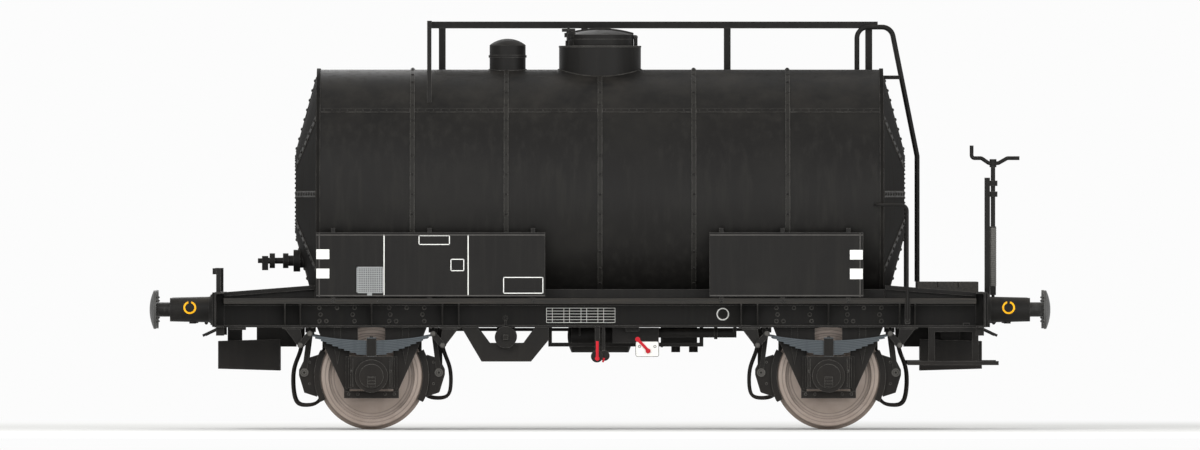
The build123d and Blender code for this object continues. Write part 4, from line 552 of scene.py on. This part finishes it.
# %% Finish of each node
NODE_FINISH = {
    tank_black: "tank_barrel manhole_dome vent_dome manhole_lid dome_fittings",
    cone_black: "tank_ends", tank_seams: "tank_bands", board_black: "info_boards",
    long_planks: "walkway_planks side_planks", cross_planks: "end_platform",
    wheel_valve_end: "wheels_valve_end axle_valve_end", wheel_brake_end: "wheels_brake_end axle_brake_end",
    gear_black: "lid_bolts spring_shackles axleboxes axle_guards_valve_end axle_guards_brake_end brake_blocks "
                "brake_hangers brake_beams safety_loops pull_rods couplings draw_hooks outlet_pipes",
    slate_paint: "leaf_springs", buffer_grey: "buffer_plungers",
    red_paint: "brake_levers", white_paint: "changeover_plate",
}
finish_of = {name: finish for finish, names in NODE_FINISH.items() for name in names.split()}
for name in frame["nodes"]:
    node = bpy.data.objects[name]
    node.data.materials.clear()
    node.data.materials.append(finish_of.get(name, frame_black))
print("finished", len(frame["nodes"]), "nodes")

# %% [markdown]
# ## Rivets and straps of the tank
# The drum is riveted: ring bands cover the joints between its plates, two lap seams run along it, and
# its cones are rolled from sectors under radial straps. On the real tank each rivet has a low round
# head. One head is made once here and copied to every place, because its bright rim is what lets
# black paint show its form.

# %% Sizes that the tank's solids give
barrel_low, barrel_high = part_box("tank_barrel")
tank_r, barrel_x, cone_tip_x = barrel_high[1], barrel_high[0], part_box("tank_ends")[1][0]
tank_z = barrel_low[2] + tank_r
print("tank radius", round(tank_r, 3), "centre", round(tank_z, 3), "cone tip", round(cone_tip_x, 3))


def on_drum(x, turn, radius):
    """A place on the drum at turn degrees from its top towards +Y, and the way it faces."""
    a = math.radians(turn)
    normal = (0.0, math.sin(a), math.cos(a))
    return (x, radius * normal[1], tank_z + radius * normal[2]), normal


# %% The middle ring band
band_pitch = 0.924
band_wide, band_thick = 0.044, 0.010
dome_clear_r, steps = 0.412, 120
band_open = math.degrees(math.asin(dome_clear_r / tank_r))
turns = [band_open + (360 - 2 * band_open) * i / steps for i in range(steps + 1)]
path, normals = zip(*(on_drum(0.0, turn, tank_r) for turn in turns))
add_piece("middle_band", [strip(path, band_wide, band_thick, normals)], tank_seams)

# %% Rivets on the ring bands
band_rivet_count = 40
dome_reach = {0.0: 0.43, -band_pitch: 0.21}
bearer_turns = (140, 149)
bands_each_side = 2
band_rivet = dome_head(0.016, 0.010)
heads = []
for step in range(-bands_each_side, bands_each_side + 1):
    x = step * band_pitch
    for i in range(band_rivet_count):
        turn = 360 * i / band_rivet_count
        place, normal = on_drum(x, turn, tank_r + band_thick)
        under_dome = place[2] > tank_z and abs(place[1]) < dome_reach.get(x, 0.0)
        on_bearer = bearer_turns[0] < min(turn, 360 - turn) < bearer_turns[1]
        if not (under_dome or on_bearer):
            heads.append(placed(band_rivet, place, normal))
add_piece("band_rivets", heads, tank_black, smooth=True)
print("band rivets", len(heads))

# %% Rivets along the two lap seams
seam_turn = 48
seam_thick = 0.006
seam_pitch = 0.077
seam_rivet = dome_head(0.008, 0.005, sides=8, rings=2)
ladder_foot_x, ladder_half, band_half = 2.542, 0.06, 0.034
heads = []
for side in SIDES:
    for i in range(int(2 * barrel_x / seam_pitch)):
        x = -barrel_x + (i + 0.5) * seam_pitch
        at_band = abs(x / band_pitch - round(x / band_pitch)) * band_pitch < band_half
        at_ladder = side > 0 and abs(x - ladder_foot_x) < ladder_half
        if not (at_band or at_ladder):
            heads.append(placed(seam_rivet, *on_drum(x, side * seam_turn, tank_r + seam_thick)))
add_piece("seam_rivets", heads, tank_black, smooth=True)
print("seam rivets", len(heads))

# %% Straps and rivets of the cones
rim_thick = 0.038
cone_root_r = tank_r - 0.065
disc_r = 0.401
strap_turns = (0, 50, 90, 130, 180, 230, 270, 310)
strap_w, strap_t = 0.058, 0.007
cone_pitch = 0.091
rim_x = barrel_x + rim_thick
slant = math.hypot(cone_root_r - disc_r, cone_tip_x - rim_x)
cone_rivet = dome_head(0.017, 0.012)


def on_cone(end, turn, share, lift):
    """A place on the cone of one end, share of the way from its root to its disc."""
    a = math.radians(turn)
    r = cone_root_r + (disc_r - cone_root_r) * share
    lean = ((cone_root_r - disc_r) / slant, (cone_tip_x - rim_x) / slant)
    normal = np.array((end * lean[0], lean[1] * math.sin(a), lean[1] * math.cos(a)))
    x = rim_x + (cone_tip_x - rim_x) * share
    return np.array((end * x, r * math.sin(a), tank_z + r * math.cos(a))) + normal * lift, normal


straps, heads = [], []
for end in ENDS:
    for turn in strap_turns:
        path, normals = zip(*(on_cone(end, turn, share, 0.0) for share in (0.01, 0.985)))
        straps.append(strip(path, strap_w, strap_t, normals))
        count = int(slant / cone_pitch)
        for i in range(count):
            place, normal = on_cone(end, turn, (i + 0.5) / count, strap_t)
            heads.append(placed(cone_rivet, place, normal))
add_piece("cone_straps", straps, tank_seams, smooth=True)
add_piece("cone_rivets", heads, tank_black, smooth=True)

# %% Rivets round the end discs
disc_pitch = 0.049
disc_row_r = disc_r - 0.022
count = round(2 * math.pi * disc_row_r / disc_pitch)
disc_rivet = dome_head(0.012, 0.010)
heads = []
for end in ENDS:
    for i in range(count):
        a = 2 * math.pi * i / count
        place = (end * cone_tip_x, disc_row_r * math.sin(a), tank_z + disc_row_r * math.cos(a))
        heads.append(placed(disc_rivet, place, (end, 0, 0)))
add_piece("disc_rivets", heads, tank_black, smooth=True)

# %% [markdown]
# ### Beads at the feet of the domes
# The manhole dome and the vent dome meet the drum along a saddle curve, and the caulked edge there
# catches the light. A flat bar is laid along that curve: for each turn round the dome, the drum's
# height follows from its radius, and so does the way the surface faces.

# %% Caulked beads
def saddle_bead(centre_x, radius, width, thick, sides=64):
    """A thin bar round a dome, on the drum."""
    path, normals = [], []
    for i in range(sides):
        a = 2 * math.pi * i / sides
        y = radius * math.sin(a)
        rise = math.sqrt(tank_r ** 2 - y ** 2)
        path.append((centre_x + radius * math.cos(a), y, tank_z + rise))
        normals.append((0.0, y / tank_r, rise / tank_r))
    return strip(path, width, thick, normals, closed=True)


dome_r, vent_r, bead_out = 0.404, 0.178, 0.004
vent_low, vent_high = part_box("vent_dome")
vent_x = (vent_high[0] + vent_low[0]) / 2
beads = [saddle_bead(0.0, dome_r + bead_out, 0.016, 0.007), saddle_bead(vent_x, vent_r + bead_out, 0.014, 0.006)]
add_piece("dome_beads", beads, tank_seams, smooth=True)

# %% Rim of the manhole dome and bosses of its lid
dome_h, rim_out, rim_back = 0.235, 0.004, 0.001
rim_profile = [(dome_r - rim_back, -0.018), (dome_r + rim_out, -0.016), (dome_r + rim_out, -0.003),
               (dome_r - rim_back, -0.001)]
rim_points, rim_faces = turned(rim_profile, 72)
rim_points = rim_points + np.array((0.0, 0.0, tank_z + tank_r + dome_h))
add_piece("dome_rim", [(rim_points, rim_faces[:-2])], tank_seams, smooth=True)
boss_y, boss_z = 0.050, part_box("manhole_lid")[1][2] - 0.034
boss = turned([(0.018, -0.004), (0.018, 0.008), (0.013, 0.011)], 16)
bosses = [on_side(side, boss, 0, boss_y, boss_z) for side in SIDES]
add_piece("lid_bosses", bosses, gear_black, body="manhole_cover", smooth=True)

# %% [markdown]
# ### Edge irons of the walkway
# The planks lie in a frame of angle iron, whose upright leaf hides their ends and stands a little
# over them, so from the side the walkway shows as one deep bar.

# %% Edge irons of the walkway
walk_low, walk_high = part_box("walkway_planks")
iron_t, iron_gap = 0.006, 0.0005
iron_z = (walk_low[2] - 0.012, walk_high[2] + 0.010)
irons = [
    block((walk_low[0], walk_low[1] - iron_t, iron_z[0]), (walk_high[0], walk_low[1] - iron_gap, iron_z[1])),
    block((walk_low[0], walk_high[1] + iron_gap, iron_z[0]), (walk_high[0], walk_high[1] + iron_t, iron_z[1])),
]
add_piece("walkway_irons", irons, frame_black)

# %% [markdown]
# ## Bolts of the frame and the running gear
# The axle guards are bolted through the web of each solebar, eight bolts to a leg. The drawing shows
# each as a small ring, which is a hexagon head on a washer. Every leg has the same pattern, and the
# far side is the near side turned half round, so one short table serves all eight legs.

# %% Bolts of the axle guards
web_face = 0.935
leg_dx = (-0.340, 0.347)
guard_bolts = ((-0.173, 1.200), (0.0, 1.200), (0.173, 1.200), (-0.162, 1.134), (0.155, 1.134),
               (-0.173, 1.069), (-0.104, 1.069), (0.173, 1.069))
guard_washer = ring(0.0145, 0.0215, 0.004, 24)
heads, washers = [], []
for side in SIDES:
    for leg_x in [axle + leg for axle in (-axle_x, axle_x) for leg in leg_dx]:
        for dx, z in guard_bolts:
            x = -side * (leg_x + dx)
            heads.append(side_bolt(side, x, web_face, z, 0.014, 0.017))
            washers.append(on_side(side, guard_washer, x, web_face, z))
add_piece("guard_bolts", heads, gear_black)
add_piece("guard_washers", washers, washer_grey)
print("guard bolts", len(heads))

# %% Gussets at the corners of the frame
gusset_x, gusset_y, gusset_z = (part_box("solebars")[1][0] + 0.0005, 3.777), (0.925, 0.935), (1.024, 1.339)
gussets = []
for end, side in QUARTERS:
    outline = [(end * gusset_x[i], gusset_z[k]) for i, k in ((0, 0), (1, 0), (1, 1), (0, 1))]
    gussets.append(side_prism(outline, side * gusset_y[0], side * gusset_y[1]))
add_piece("corner_gussets", gussets, frame_black)

# %% Square washers on the plank strips
plank_low, plank_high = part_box("side_planks")
plank_face, plank_z = plank_high[1], (plank_low[2] + plank_high[2]) / 2
washer_x = (-2.625, -2.179, -0.659, 1.193, 1.805, 2.443)
washer_half, washer_t = 0.020, 0.005
washer_y = (plank_face - 0.002, plank_face + washer_t)
washers = []
for side in SIDES:
    for x in washer_x:
        washers.append(side_block(side, about(x, washer_half), washer_y, about(plank_z, washer_half)))
        washers.append(on_side(side, dome_head(0.010, 0.006, 8), x, washer_y[1], plank_z))
add_piece("plank_washers", washers, frame_black, smooth=True)

# %% [markdown]
# ### Axlebox fronts
# A plain bearing box is cast, with a round front cover that its bolts hold, and a small hinged lid for
# the oil. The keeper under the horns is held by nuts. Tools and hands reach these parts often, and the
# wear that the finish puts on edges shows best on such small heads.

# %% Bolts of the axleboxes and keepers
core_face, tie_face, cover_face = 1.052, 0.939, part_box("axleboxes")[1][1]
cover_dx, cover_z, guide_dx, guide_z = 0.192, 0.577, 0.182, (0.425, 0.700)
keeper_dx, keeper_z, oil_lid_z, bar_t = (0.134, 0.225), 0.351, (0.452, 0.482, 0.512), 0.006
guide_y, oil_lid_y = (core_face - 0.002, core_face + bar_t), (cover_face - 0.003, cover_face + bar_t)
heads, bars = [], []
for end, side in QUARTERS:
    axle = end * axle_x
    for way in WAYS:
        heads.append(side_bolt(side, axle + way * cover_dx, core_face, cover_z, 0.010, 0.010))
        bars.append(side_block(side, about(axle + way * guide_dx, 0.004), guide_y, guide_z))
        heads += [side_bolt(side, axle + way * dx, tie_face, keeper_z, 0.013, 0.014) for dx in keeper_dx]
    bars += [side_block(side, about(axle, 0.036), oil_lid_y, about(z, 0.005)) for z in oil_lid_z]
add_piece("axlebox_bolts", heads, gear_black)
add_piece("axlebox_bars", bars, gear_black)

# %% Tapered ribs on the guards' legs
sole_foot = 1.008
guard_face, rib_t, rib_dx = 0.925, 0.014, 0.335
rib_outline = ((-0.034, sole_foot), (-0.034, 0.820), (0.0, 0.640), (0.034, 0.820), (0.034, sole_foot))
ribs = []
for end, way, side in EIGHTHS:
    outline = [(end * axle_x + way * rib_dx + dx, z) for dx, z in rib_outline]
    ribs.append(side_prism(outline, side * guard_face, side * (guard_face + rib_t)))
add_piece("guard_ribs", ribs, gear_black)

# %% Buckles of the leaf springs
buckle_half, buckle_z = (0.047, 0.0605), (0.725, 0.900)
spring_y = 0.987
sleeves = []
for end, side in QUARTERS:
    sleeves.append(side_block(side, about(end * axle_x, buckle_half[0]), about(spring_y, buckle_half[1]), buckle_z))
    sleeves.append(placed(bolt_head(0.017, 0.020), (end * axle_x, side * spring_y, buckle_z[1])))
add_piece("spring_buckles", sleeves, gear_black, bevel=0.005)

# %% Nuts of the spring pins
eye_z, nut_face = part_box("spring_shackles")[1][2] - 0.028, 1.061
pin_places = ((0.607, 0.0), (0.700, -0.113))
heads = [side_bolt(side, end * axle_x + way * dx, nut_face, eye_z + drop, 0.016, 0.014)
         for end, way, side in EIGHTHS for dx, drop in pin_places]
add_piece("shackle_nuts", heads, washer_grey)

# %% Rings and bolts of the brake block holders
beam_dx, beam_z = 0.663, 0.562
beam_rings = ((0.806, ring(0.012, 0.022, 0.005, 24)), (0.793, ring(0.029, 0.041, 0.006, 28)))
holder_dx, holder_y, holder_z = 0.610, 0.779, (0.664, 0.452)
rings, heads = [], []
for end, way, side in EIGHTHS:
    axle = end * axle_x
    rings += [on_side(side, hoop, axle + way * beam_dx, y, beam_z) for y, hoop in beam_rings]
    heads += [side_bolt(side, axle + way * holder_dx, holder_y, z, 0.011, 0.012) for z in holder_z]
add_piece("holder_rings", rings, washer_grey)
add_piece("holder_bolts", heads, gear_black)

# %% [markdown]
# ### Safety loops
# Under each brake beam hangs a loop of round bar that would catch it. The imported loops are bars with
# short bends. The real bar is bent hot round a former and shows one long curve, so a smooth spline
# takes their place here, along the same legs and to the same lowest point.

# %% Safety loops as smooth bars
loop_y, loop_r, loop_top = 0.5765, 0.0165, 1.070
foot, reach, far = 0.702, 0.780, 0.470
loop_low = {1: 0.252, -1: 0.322}


def loop_route(axle, way, outer):
    """The control points of one loop, from its outer foot round below to its inner foot."""
    low, middle_x = loop_low[outer], (reach + far) / 2
    path = [(foot - 0.018, loop_top), (foot - 0.018, 0.860), (foot + 0.010, 0.740), (reach, 0.610), (reach, 0.400),
            (reach - 0.030, low - 0.004), (middle_x + 0.030, low - 0.018), (far + 0.060, low - 0.004),
            (far, low + 0.120), (far, 0.620), (far, 0.860), (far, loop_top)]
    return [(axle + way * x, z) for x, z in path]


loops = bpy.data.curves.new("safety_loop_bars", "CURVE")
loops.dimensions = "3D"
loops.bevel_depth, loops.bevel_resolution, loops.resolution_u, loops.use_fill_caps = loop_r, 3, 8, True
for end, way, side in EIGHTHS:
    route = loop_route(end * axle_x, way, way * end)
    spline = loops.splines.new("NURBS")
    spline.points.add(len(route) - 1)
    for point, (x, z) in zip(spline.points, route):
        point.co = (x, side * loop_y, z, 1.0)
    spline.order_u, spline.use_endpoint_u = 4, True
    spline.resolution_u = 8
loops.materials.append(gear_black)
loop_bars = bpy.data.objects.new("safety_loop_bars", loops)
bpy.context.scene.collection.objects.link(loop_bars)
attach(loop_bars, "wagon")
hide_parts("safety_loops")
print("safety loops", len(loops.splines))

# %% [markdown]
# ### Buffers and draw gear
# Each buffer's base plate is bolted to the headstock at its corners, and a ring of rivets holds the
# head from behind. The long casing carries a yellow ring that is open at its top.

# %% Bolts and rivets of the buffers and hook plates
def corners(half):
    """The four corners of a square round zero."""
    return [(dy, dz) for dy in (-half, half) for dz in (-half, half)]


plunger_low, plunger_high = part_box("buffer_plungers")
buffer_y, buffer_z = 0.875, (plunger_low[2] + plunger_high[2]) / 2
base_face_x, head_back_x, hook_face_x = 3.816, plunger_high[0] - 0.065, 3.811
rivet_count, rivet_row_r = 8, 0.118
heads = []
for end, side in QUARTERS:
    for dy, dz in corners(0.135):
        place = (end * base_face_x, side * buffer_y + dy, buffer_z + dz)
        heads.append(placed(bolt_head(0.017, 0.018), place, (end, 0, 0)))
    for i in range(rivet_count):
        a = math.radians(360 / rivet_count * i)
        place = (end * head_back_x, side * buffer_y + rivet_row_r * math.cos(a), buffer_z + rivet_row_r * math.sin(a))
        heads.append(placed(dome_head(0.011, 0.012, 8), place, (-end, 0, 0)))
add_piece("buffer_bolts", heads, gear_black)
heads = [placed(bolt_head(0.014, 0.016), (end * hook_face_x, dy, buffer_z + dz), (end, 0, 0))
         for end in ENDS for dy, dz in corners(0.095)]
add_piece("hook_plate_bolts", heads, gear_black)

# %% Yellow rings on the buffer casings
ring_places, ring_z = {-1: 4.038, 1: 4.022}, 1.202
casing_x, casing_root_r, casing_taper = 3.850, 0.1256, -0.009 / 0.384
ring_in, ring_out, ring_gap = 0.045, 0.063, math.radians(15)
marks = []
for end, side in QUARTERS:
    flat, faces = ring(ring_in, ring_out, 0.0016, 48, math.pi / 2 + ring_gap, 2 * math.pi - 2 * ring_gap)
    along, high = ring_places[end] + flat[:, 0], ring_z - buffer_z + flat[:, 1]
    casing_r = casing_root_r + casing_taper * (along - casing_x)
    across = buffer_y + np.sqrt(casing_r ** 2 - high ** 2) + flat[:, 2]
    marks.append((np.stack((end * along, side * across, buffer_z + high), 1), faces))
add_piece("buffer_rings", marks, yellow_paint)

# %% Screw thread of the handbrake
screw_x, screw_y, screw_z = 3.875, -0.450, (1.414, 1.999)
core_r, root_r, thread_r, thread_pitch = 0.030, 0.0312, 0.0335, 0.018
thread_form = ((root_r, 0.002), (thread_r, 0.007), (thread_r, 0.011), (root_r, 0.016))
feet = [screw_z[0] + i * thread_pitch for i in range(int((screw_z[1] - screw_z[0]) / thread_pitch))]
profile = [(core_r, screw_z[0]), *((r, z + rise) for z in feet for r, rise in thread_form), (core_r, screw_z[1])]
points, faces = turned(profile, 20)
add_piece("brake_screw_thread", [(points + np.array((screw_x, screw_y, 0.0)), faces)], thread_steel)

# %% Rest plate beside the sill at the valve end
plate = block((-3.645, -1.010, 0.982), (-3.485, -0.930, 1.009))
add_piece("end_rest_plate", [plate], frame_black, bevel=0.003)

# %% Plates between the hangers of the brake-end equipment box
box_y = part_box("equipment_boxes")[1][1]
outline = [(3.36, 0.875), (3.55, 0.880), (3.55, 1.000), (3.36, 1.000)]
fillers = [side_prism(outline, side * (box_y - 0.060), side * (box_y - 0.052)) for side in SIDES]
add_piece("box_hanger_plates", fillers, frame_black)

# %% Solid hooks of the lamp brackets
lamp_low, lamp_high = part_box("lamp_brackets")
proud = 0.0005
hook_x, hook_y = (lamp_low[0] - proud, lamp_low[0] + 0.036), (lamp_high[1] - 0.0145, lamp_high[1] + proud)
hook_z = (lamp_high[2] - 0.060, lamp_high[2] + proud)
hooks = [side_block(side, hook_x, hook_y, hook_z) for side in SIDES]
add_piece("lamp_hooks", hooks, frame_black)

# %% [markdown]
# ### Lever backs and the outlet eye bolts
# The release lever hangs in front of two round weights, and a second lever on the far side shows only
# its red tip below them. Over each outlet cap sits an eye bolt that a chain would go through.

# %% Lever backs
lever_y = -1.031


def weight_disc(radius):
    """A round weight 16 mm thick with softened rims."""
    return turned([(radius - 0.002, 0.0), (radius, 0.003), (radius, 0.013), (radius - 0.004, 0.016)], 28)


backs = [
    block((-0.050, lever_y, 0.745), (0.000, lever_y + 0.018, 1.020)),
    placed(weight_disc(0.060), (-0.030, lever_y + 0.012, 0.722), (0, -1, 0)),
    placed(weight_disc(0.052), (0.044, lever_y + 0.030, 0.730), (0, -1, 0)),
    block((0.018, lever_y + 0.021, 0.745), (0.050, lever_y + 0.033, 1.009)),
]
add_piece("lever_backs", backs, gear_black)
tip = turned([(0.010, 0.0), (0.010, 0.040), (0.007, 0.046)], 12)
tip = placed(tip, (0.040, lever_y + 0.010, 0.708), (-0.28, 0, -1))
add_piece("far_lever_tip", [tip], red_paint, smooth=True)

# %% Packings over the relay box and pivot of the changeover lever
relay_low, relay_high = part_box("relay_box")
strips = [block((x0, relay_low[1] + 0.010, relay_high[2] - 0.002), (x1, relay_high[1] - 0.010, 1.009))
          for x0, x1 in ((relay_low[0], relay_low[0] + 0.120), (relay_low[0] + 0.130, relay_high[0]))]
add_piece("relay_packings", strips, gear_black)
lever_low, lever_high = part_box("brake_levers")
pivot = turned([(0.024, 0.0), (0.024, 0.006), (0.020, 0.009), (0.009, 0.009), (0.009, 0.012), (0.006, 0.013)], 28)
pivot = placed(pivot, (lever_high[0] - 0.010, lever_low[1] - 0.001, 0.776), (0, -1, 0))
add_piece("changeover_pivot", [pivot], red_paint, smooth=True)

# %% Eye bolts over the outlets
outlet_x, outlet_y, eye_high = -0.929, 1.030, 1.100
eye_y = (outlet_y - 0.004, outlet_y + 0.008)
eyes = []
for side in SIDES:
    eyes.append(on_side(side, ring(0.013, 0.026, 0.012, 24), outlet_x, outlet_y + 0.006, eye_high))
    eyes.append(side_block(side, about(outlet_x, 0.011), eye_y, (1.020, eye_high - 0.018)))
    eyes.append(side_block(side, about(outlet_x, 0.034), eye_y, (1.010, 1.030)))
add_piece("outlet_eyes", eyes, gear_black)

# %% [markdown]
# ## Boards and painted marks
# Two long boards hang on each side to carry lettering. All lettering is left out, so what stays is
# the raised edge line, the white squares and lines, and the card holder of grey wire mesh. Marks on a
# real wagon are stencilled paint, so here they are plates a few millimetres thick with their own
# paint, which keeps their edges sharp from near and far.

# %% Marks on the boards
board_face, board_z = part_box("info_boards")[1][1], (1.302, 1.937)
board_spans = ((-2.793, -0.540), (1.077, 2.589))
edge_in, end_in, line_w, line_t, mark_t = 0.020, 0.031, 0.009, 0.004, 0.0015


def mark(side, x0, x1, z0, z1, face=board_face, thick=mark_t):
    """A thin plate on the outer face of one side."""
    return side_block(side, (x0, x1), (face - 0.001, face + thick), (z0, z1))


def edge_lines(side, x0, x1, z0, z1, width, face=board_face, thick=mark_t):
    """Four thin plates that frame a rectangle on one side."""
    return [
        mark(side, x0, x1, z1 - width, z1, face, thick), mark(side, x0, x1, z0, z0 + width, face, thick),
        mark(side, x0, x0 + width, z0, z1, face, thick), mark(side, x1 - width, x1, z0, z1, face, thick),
    ]


lines, squares = [], []
square_spots = ((-2.790, -2.662, 1.680, 1.776), (-2.790, -2.662, 1.491, 1.586),
                (2.458, 2.584, 1.676, 1.770), (2.458, 2.584, 1.483, 1.586))
divider_x = (-2.124, -1.297)
blank_frames = ((-1.784, -1.477, 1.820, 1.915), (-1.470, -1.336, 1.562, 1.682), (-0.952, -0.558, 1.341, 1.504))
for side in SIDES:
    for x0, x1 in board_spans:
        for z in (board_z[0] + edge_in, board_z[1] - edge_in):
            lines.append(mark(side, x0 + line_t, x1 - line_t, *about(z, line_w / 2), thick=line_t))
        x = x0 + end_in if x0 < 0 else x1 - end_in
        lines.append(mark(side, *about(x, line_w / 2), board_z[0] + line_t, board_z[1] - line_t, thick=line_t))
    squares += [mark(side, *spot, thick=0.006) for spot in square_spots]
    squares += [mark(side, *about(x, 0.005), board_z[0] + 0.015, board_z[1] - 0.015) for x in divider_x]
    for spot in blank_frames:
        squares += edge_lines(side, *spot, 0.008)
add_piece("board_edge_lines", lines, board_line)
add_piece("board_squares", squares, white_paint)

# %% [markdown]
# ### The card holder
# Waybills go behind a panel of woven wire in a folded frame. A shader with a pattern would look flat
# from an angle, so the wires are real strips in two directions over a grey back.

# %% Card holder
holder_x, holder_z = (-2.394, -2.130), (1.346, 1.604)
wire_pitch, wire_w = 0.0215, 0.0075
back_t, wire_t, rim_w_holder = 0.004, 0.0085, 0.010
backs, wires = [], []
for side in SIDES:
    backs.append(mark(side, *holder_x, *holder_z, thick=back_t))
    for i in range(1, int((holder_x[1] - holder_x[0]) / wire_pitch)):
        x = holder_x[0] + i * wire_pitch
        wires.append(mark(side, *about(x, wire_w / 2), *holder_z, thick=wire_t))
    for i in range(1, int((holder_z[1] - holder_z[0]) / wire_pitch)):
        z = holder_z[0] + i * wire_pitch
        wires.append(mark(side, *holder_x, *about(z, wire_w / 2), thick=wire_t - 0.001))
    wires += edge_lines(side, *holder_x, *holder_z, rim_w_holder, thick=0.014)
    wires.append(mark(side, -2.290, -2.242, 1.322, 1.346, thick=0.006))
add_piece("card_holder_backs", backs, holder_grey)
add_piece("card_holder_wires", wires, mesh_grey)

# %% [markdown]
# ### Grid and ring on the sills
# A small white grid is painted on the sill's web for dates that are written in by hand. It is blank
# here. The ring beside it marks a place too, and it has no sign in it.

# %% Grid and ring on the sills
grid_x = (-0.527, -0.469, -0.356, -0.300, -0.187, -0.131, -0.021, 0.036, 0.148)
grid_z, grid_rows, grid_line = (1.055, 1.197), 5, 0.0045
pieces, rings = [], []
for side in SIDES:
    for x in grid_x:
        pieces.append(mark(side, *about(x, grid_line / 2), *grid_z, face=web_face))
    for i in range(grid_rows + 1):
        z = grid_z[0] + (grid_z[1] - grid_z[0]) * i / grid_rows
        pieces.append(mark(side, grid_x[0], grid_x[-1], *about(z, grid_line / 2), face=web_face))
    rings.append(on_side(side, ring(0.050, 0.062, mark_t, 40), 1.209, web_face, 1.138))
add_piece("sill_grid", pieces, white_paint)
add_piece("sill_rings", rings, white_paint)

# %% Rings on the changeover plates
plate_low, plate_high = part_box("changeover_plate")
plate_face, plate_corner, rim_line = -plate_low[1], 0.022, 0.005
studs = [placed(ring(0.009, 0.014, 0.003, 20), (x, -plate_face, 0.820), (0, -1, 0)) for x in (0.389, 0.541)]
rim_steps, reach = 24, plate_corner - rim_line / 2
rim_path = []
for turn in range(rim_steps):
    a = 2 * math.pi * (turn + 0.5) / rim_steps
    corner_x = plate_high[0] - plate_corner if math.cos(a) > 0 else plate_low[0] + plate_corner
    corner_z = plate_high[2] - plate_corner if math.sin(a) > 0 else plate_low[2] + plate_corner
    rim_path.append((corner_x + reach * math.cos(a), -plate_face, corner_z + reach * math.sin(a)))
studs.append(strip(rim_path, rim_line, 0.002, [(0, -1, 0)] * rim_steps, closed=True))
add_piece("plate_rim_and_studs", studs, board_line)

# %% Square outline at the sill's far end
outlines = [line for side in SIDES for line in edge_lines(side, 3.573, 3.639, 1.006, 1.052, 0.006, face=web_face)]
add_piece("sill_outlines", outlines, board_line)

# %% [markdown]
# ## Floor, light and camera
# The picture is a side elevation with no perspective, on white. A very long lens from far away gives
# nearly the same: its scale is true between the near buffers and the tank's middle, so that hardly an
# edge shifts by more than a pixel. The floor is pale and flat, and broad soft lamps, one of them low,
# keep black paint readable without hard glints.

# %% Floor
# The floor glows white far from the wagon, so that it runs into the backdrop without a line.
floor_x, floor_y, glow_from, glow_full = 60.0, 80.0, 7.0, 16.0
floor_mesh = bpy.data.meshes.new("floor")
floor_corners = [(way * floor_x, side * floor_y, 0.0) for way, side in ((-1, -1), (1, -1), (1, 1), (-1, 1))]
floor_mesh.from_pydata(floor_corners, [], [(0, 1, 2, 3)])
floor = bpy.data.objects.new("floor", floor_mesh)
bpy.context.scene.collection.objects.link(floor)
floor_paint, w, shader = new_material("studio floor")
cloud = w.noise(w.place(), 0.6, 3.0)
fade = w.ramp(w.vector("LENGTH", w.place(), (0, 0, 0)), glow_from, glow_full)
pale = w.tint(cloud, tone(236, 236, 234), tone(243, 243, 241))
w.fill(shader, {"Base Color": w.tint(fade, pale, (0.0, 0.0, 0.0, 1.0)), "Roughness": 0.9,
                "Specular IOR Level": 0.0, "Emission Color": tone(252, 252, 252), "Emission Strength": fade})
floor_mesh.materials.append(floor_paint)

# %% Lamps and sky
def soft_lamp(name, place, aim, size, power):
    """A square area lamp at place that faces aim."""
    lamp = bpy.data.objects.new(name, bpy.data.lights.new(name, "AREA"))
    lamp.data.size = size
    lamp.data.energy = power
    lamp.location = place
    lamp.rotation_mode = "QUATERNION"
    lamp.rotation_quaternion = (Vector(aim) - Vector(place)).to_track_quat("-Z", "Y")
    bpy.context.scene.collection.objects.link(lamp)


middle = (0.0, 0.0, 1.8)
soft_lamp("key lamp", (-8.0, -14.0, 10.0), middle, 8.0, 1250.0)
soft_lamp("fill lamp", (10.0, -13.0, 5.0), middle, 9.0, 800.0)
soft_lamp("low lamp", (0.0, -14.0, 0.9), (0.0, 0.0, 0.8), 7.0, 420.0)
soft_lamp("back lamp", (-4.0, 14.0, 9.0), middle, 8.0, 450.0)
world = bpy.data.worlds.new("studio sky")
bpy.context.scene.world = world
world.use_nodes = True
w = Wiring(world.node_tree)
seen = w.node("LightPath").outputs["Is Camera Ray"]
strength = w.ramp(seen, 0.0, 1.0, 0.75, 1.0)
w.fill(world.node_tree.nodes["Background"], {"Color": tone(252, 252, 252), "Strength": strength})
bpy.context.scene.view_settings.view_transform = "Standard"

# %% Camera
# The sensor's height sets the picture.
picture_height_px, rail_px, metres_per_px = 450, 429.4, 0.00986
camera = bpy.data.objects.new("side camera", bpy.data.cameras.new("side camera"))
camera.data.sensor_fit = "VERTICAL"
camera.data.sensor_height, camera.data.sensor_width = 13.9, 58.4
camera.data.lens = 1000.0
distance = camera.data.lens * picture_height_px * metres_per_px / camera.data.sensor_height
true_scale_y = -0.45
eye_level = (rail_px - picture_height_px / 2) * metres_per_px
camera.location = (0.0, true_scale_y - distance, eye_level)
camera.rotation_euler = (math.pi / 2, 0.0, 0.0)
camera.data.clip_start, camera.data.clip_end = 50.0, 600.0
bpy.context.scene.collection.objects.link(camera)
bpy.context.scene.camera = camera
print("camera", round(distance, 1), "m away at", round(eye_level, 3), "m")
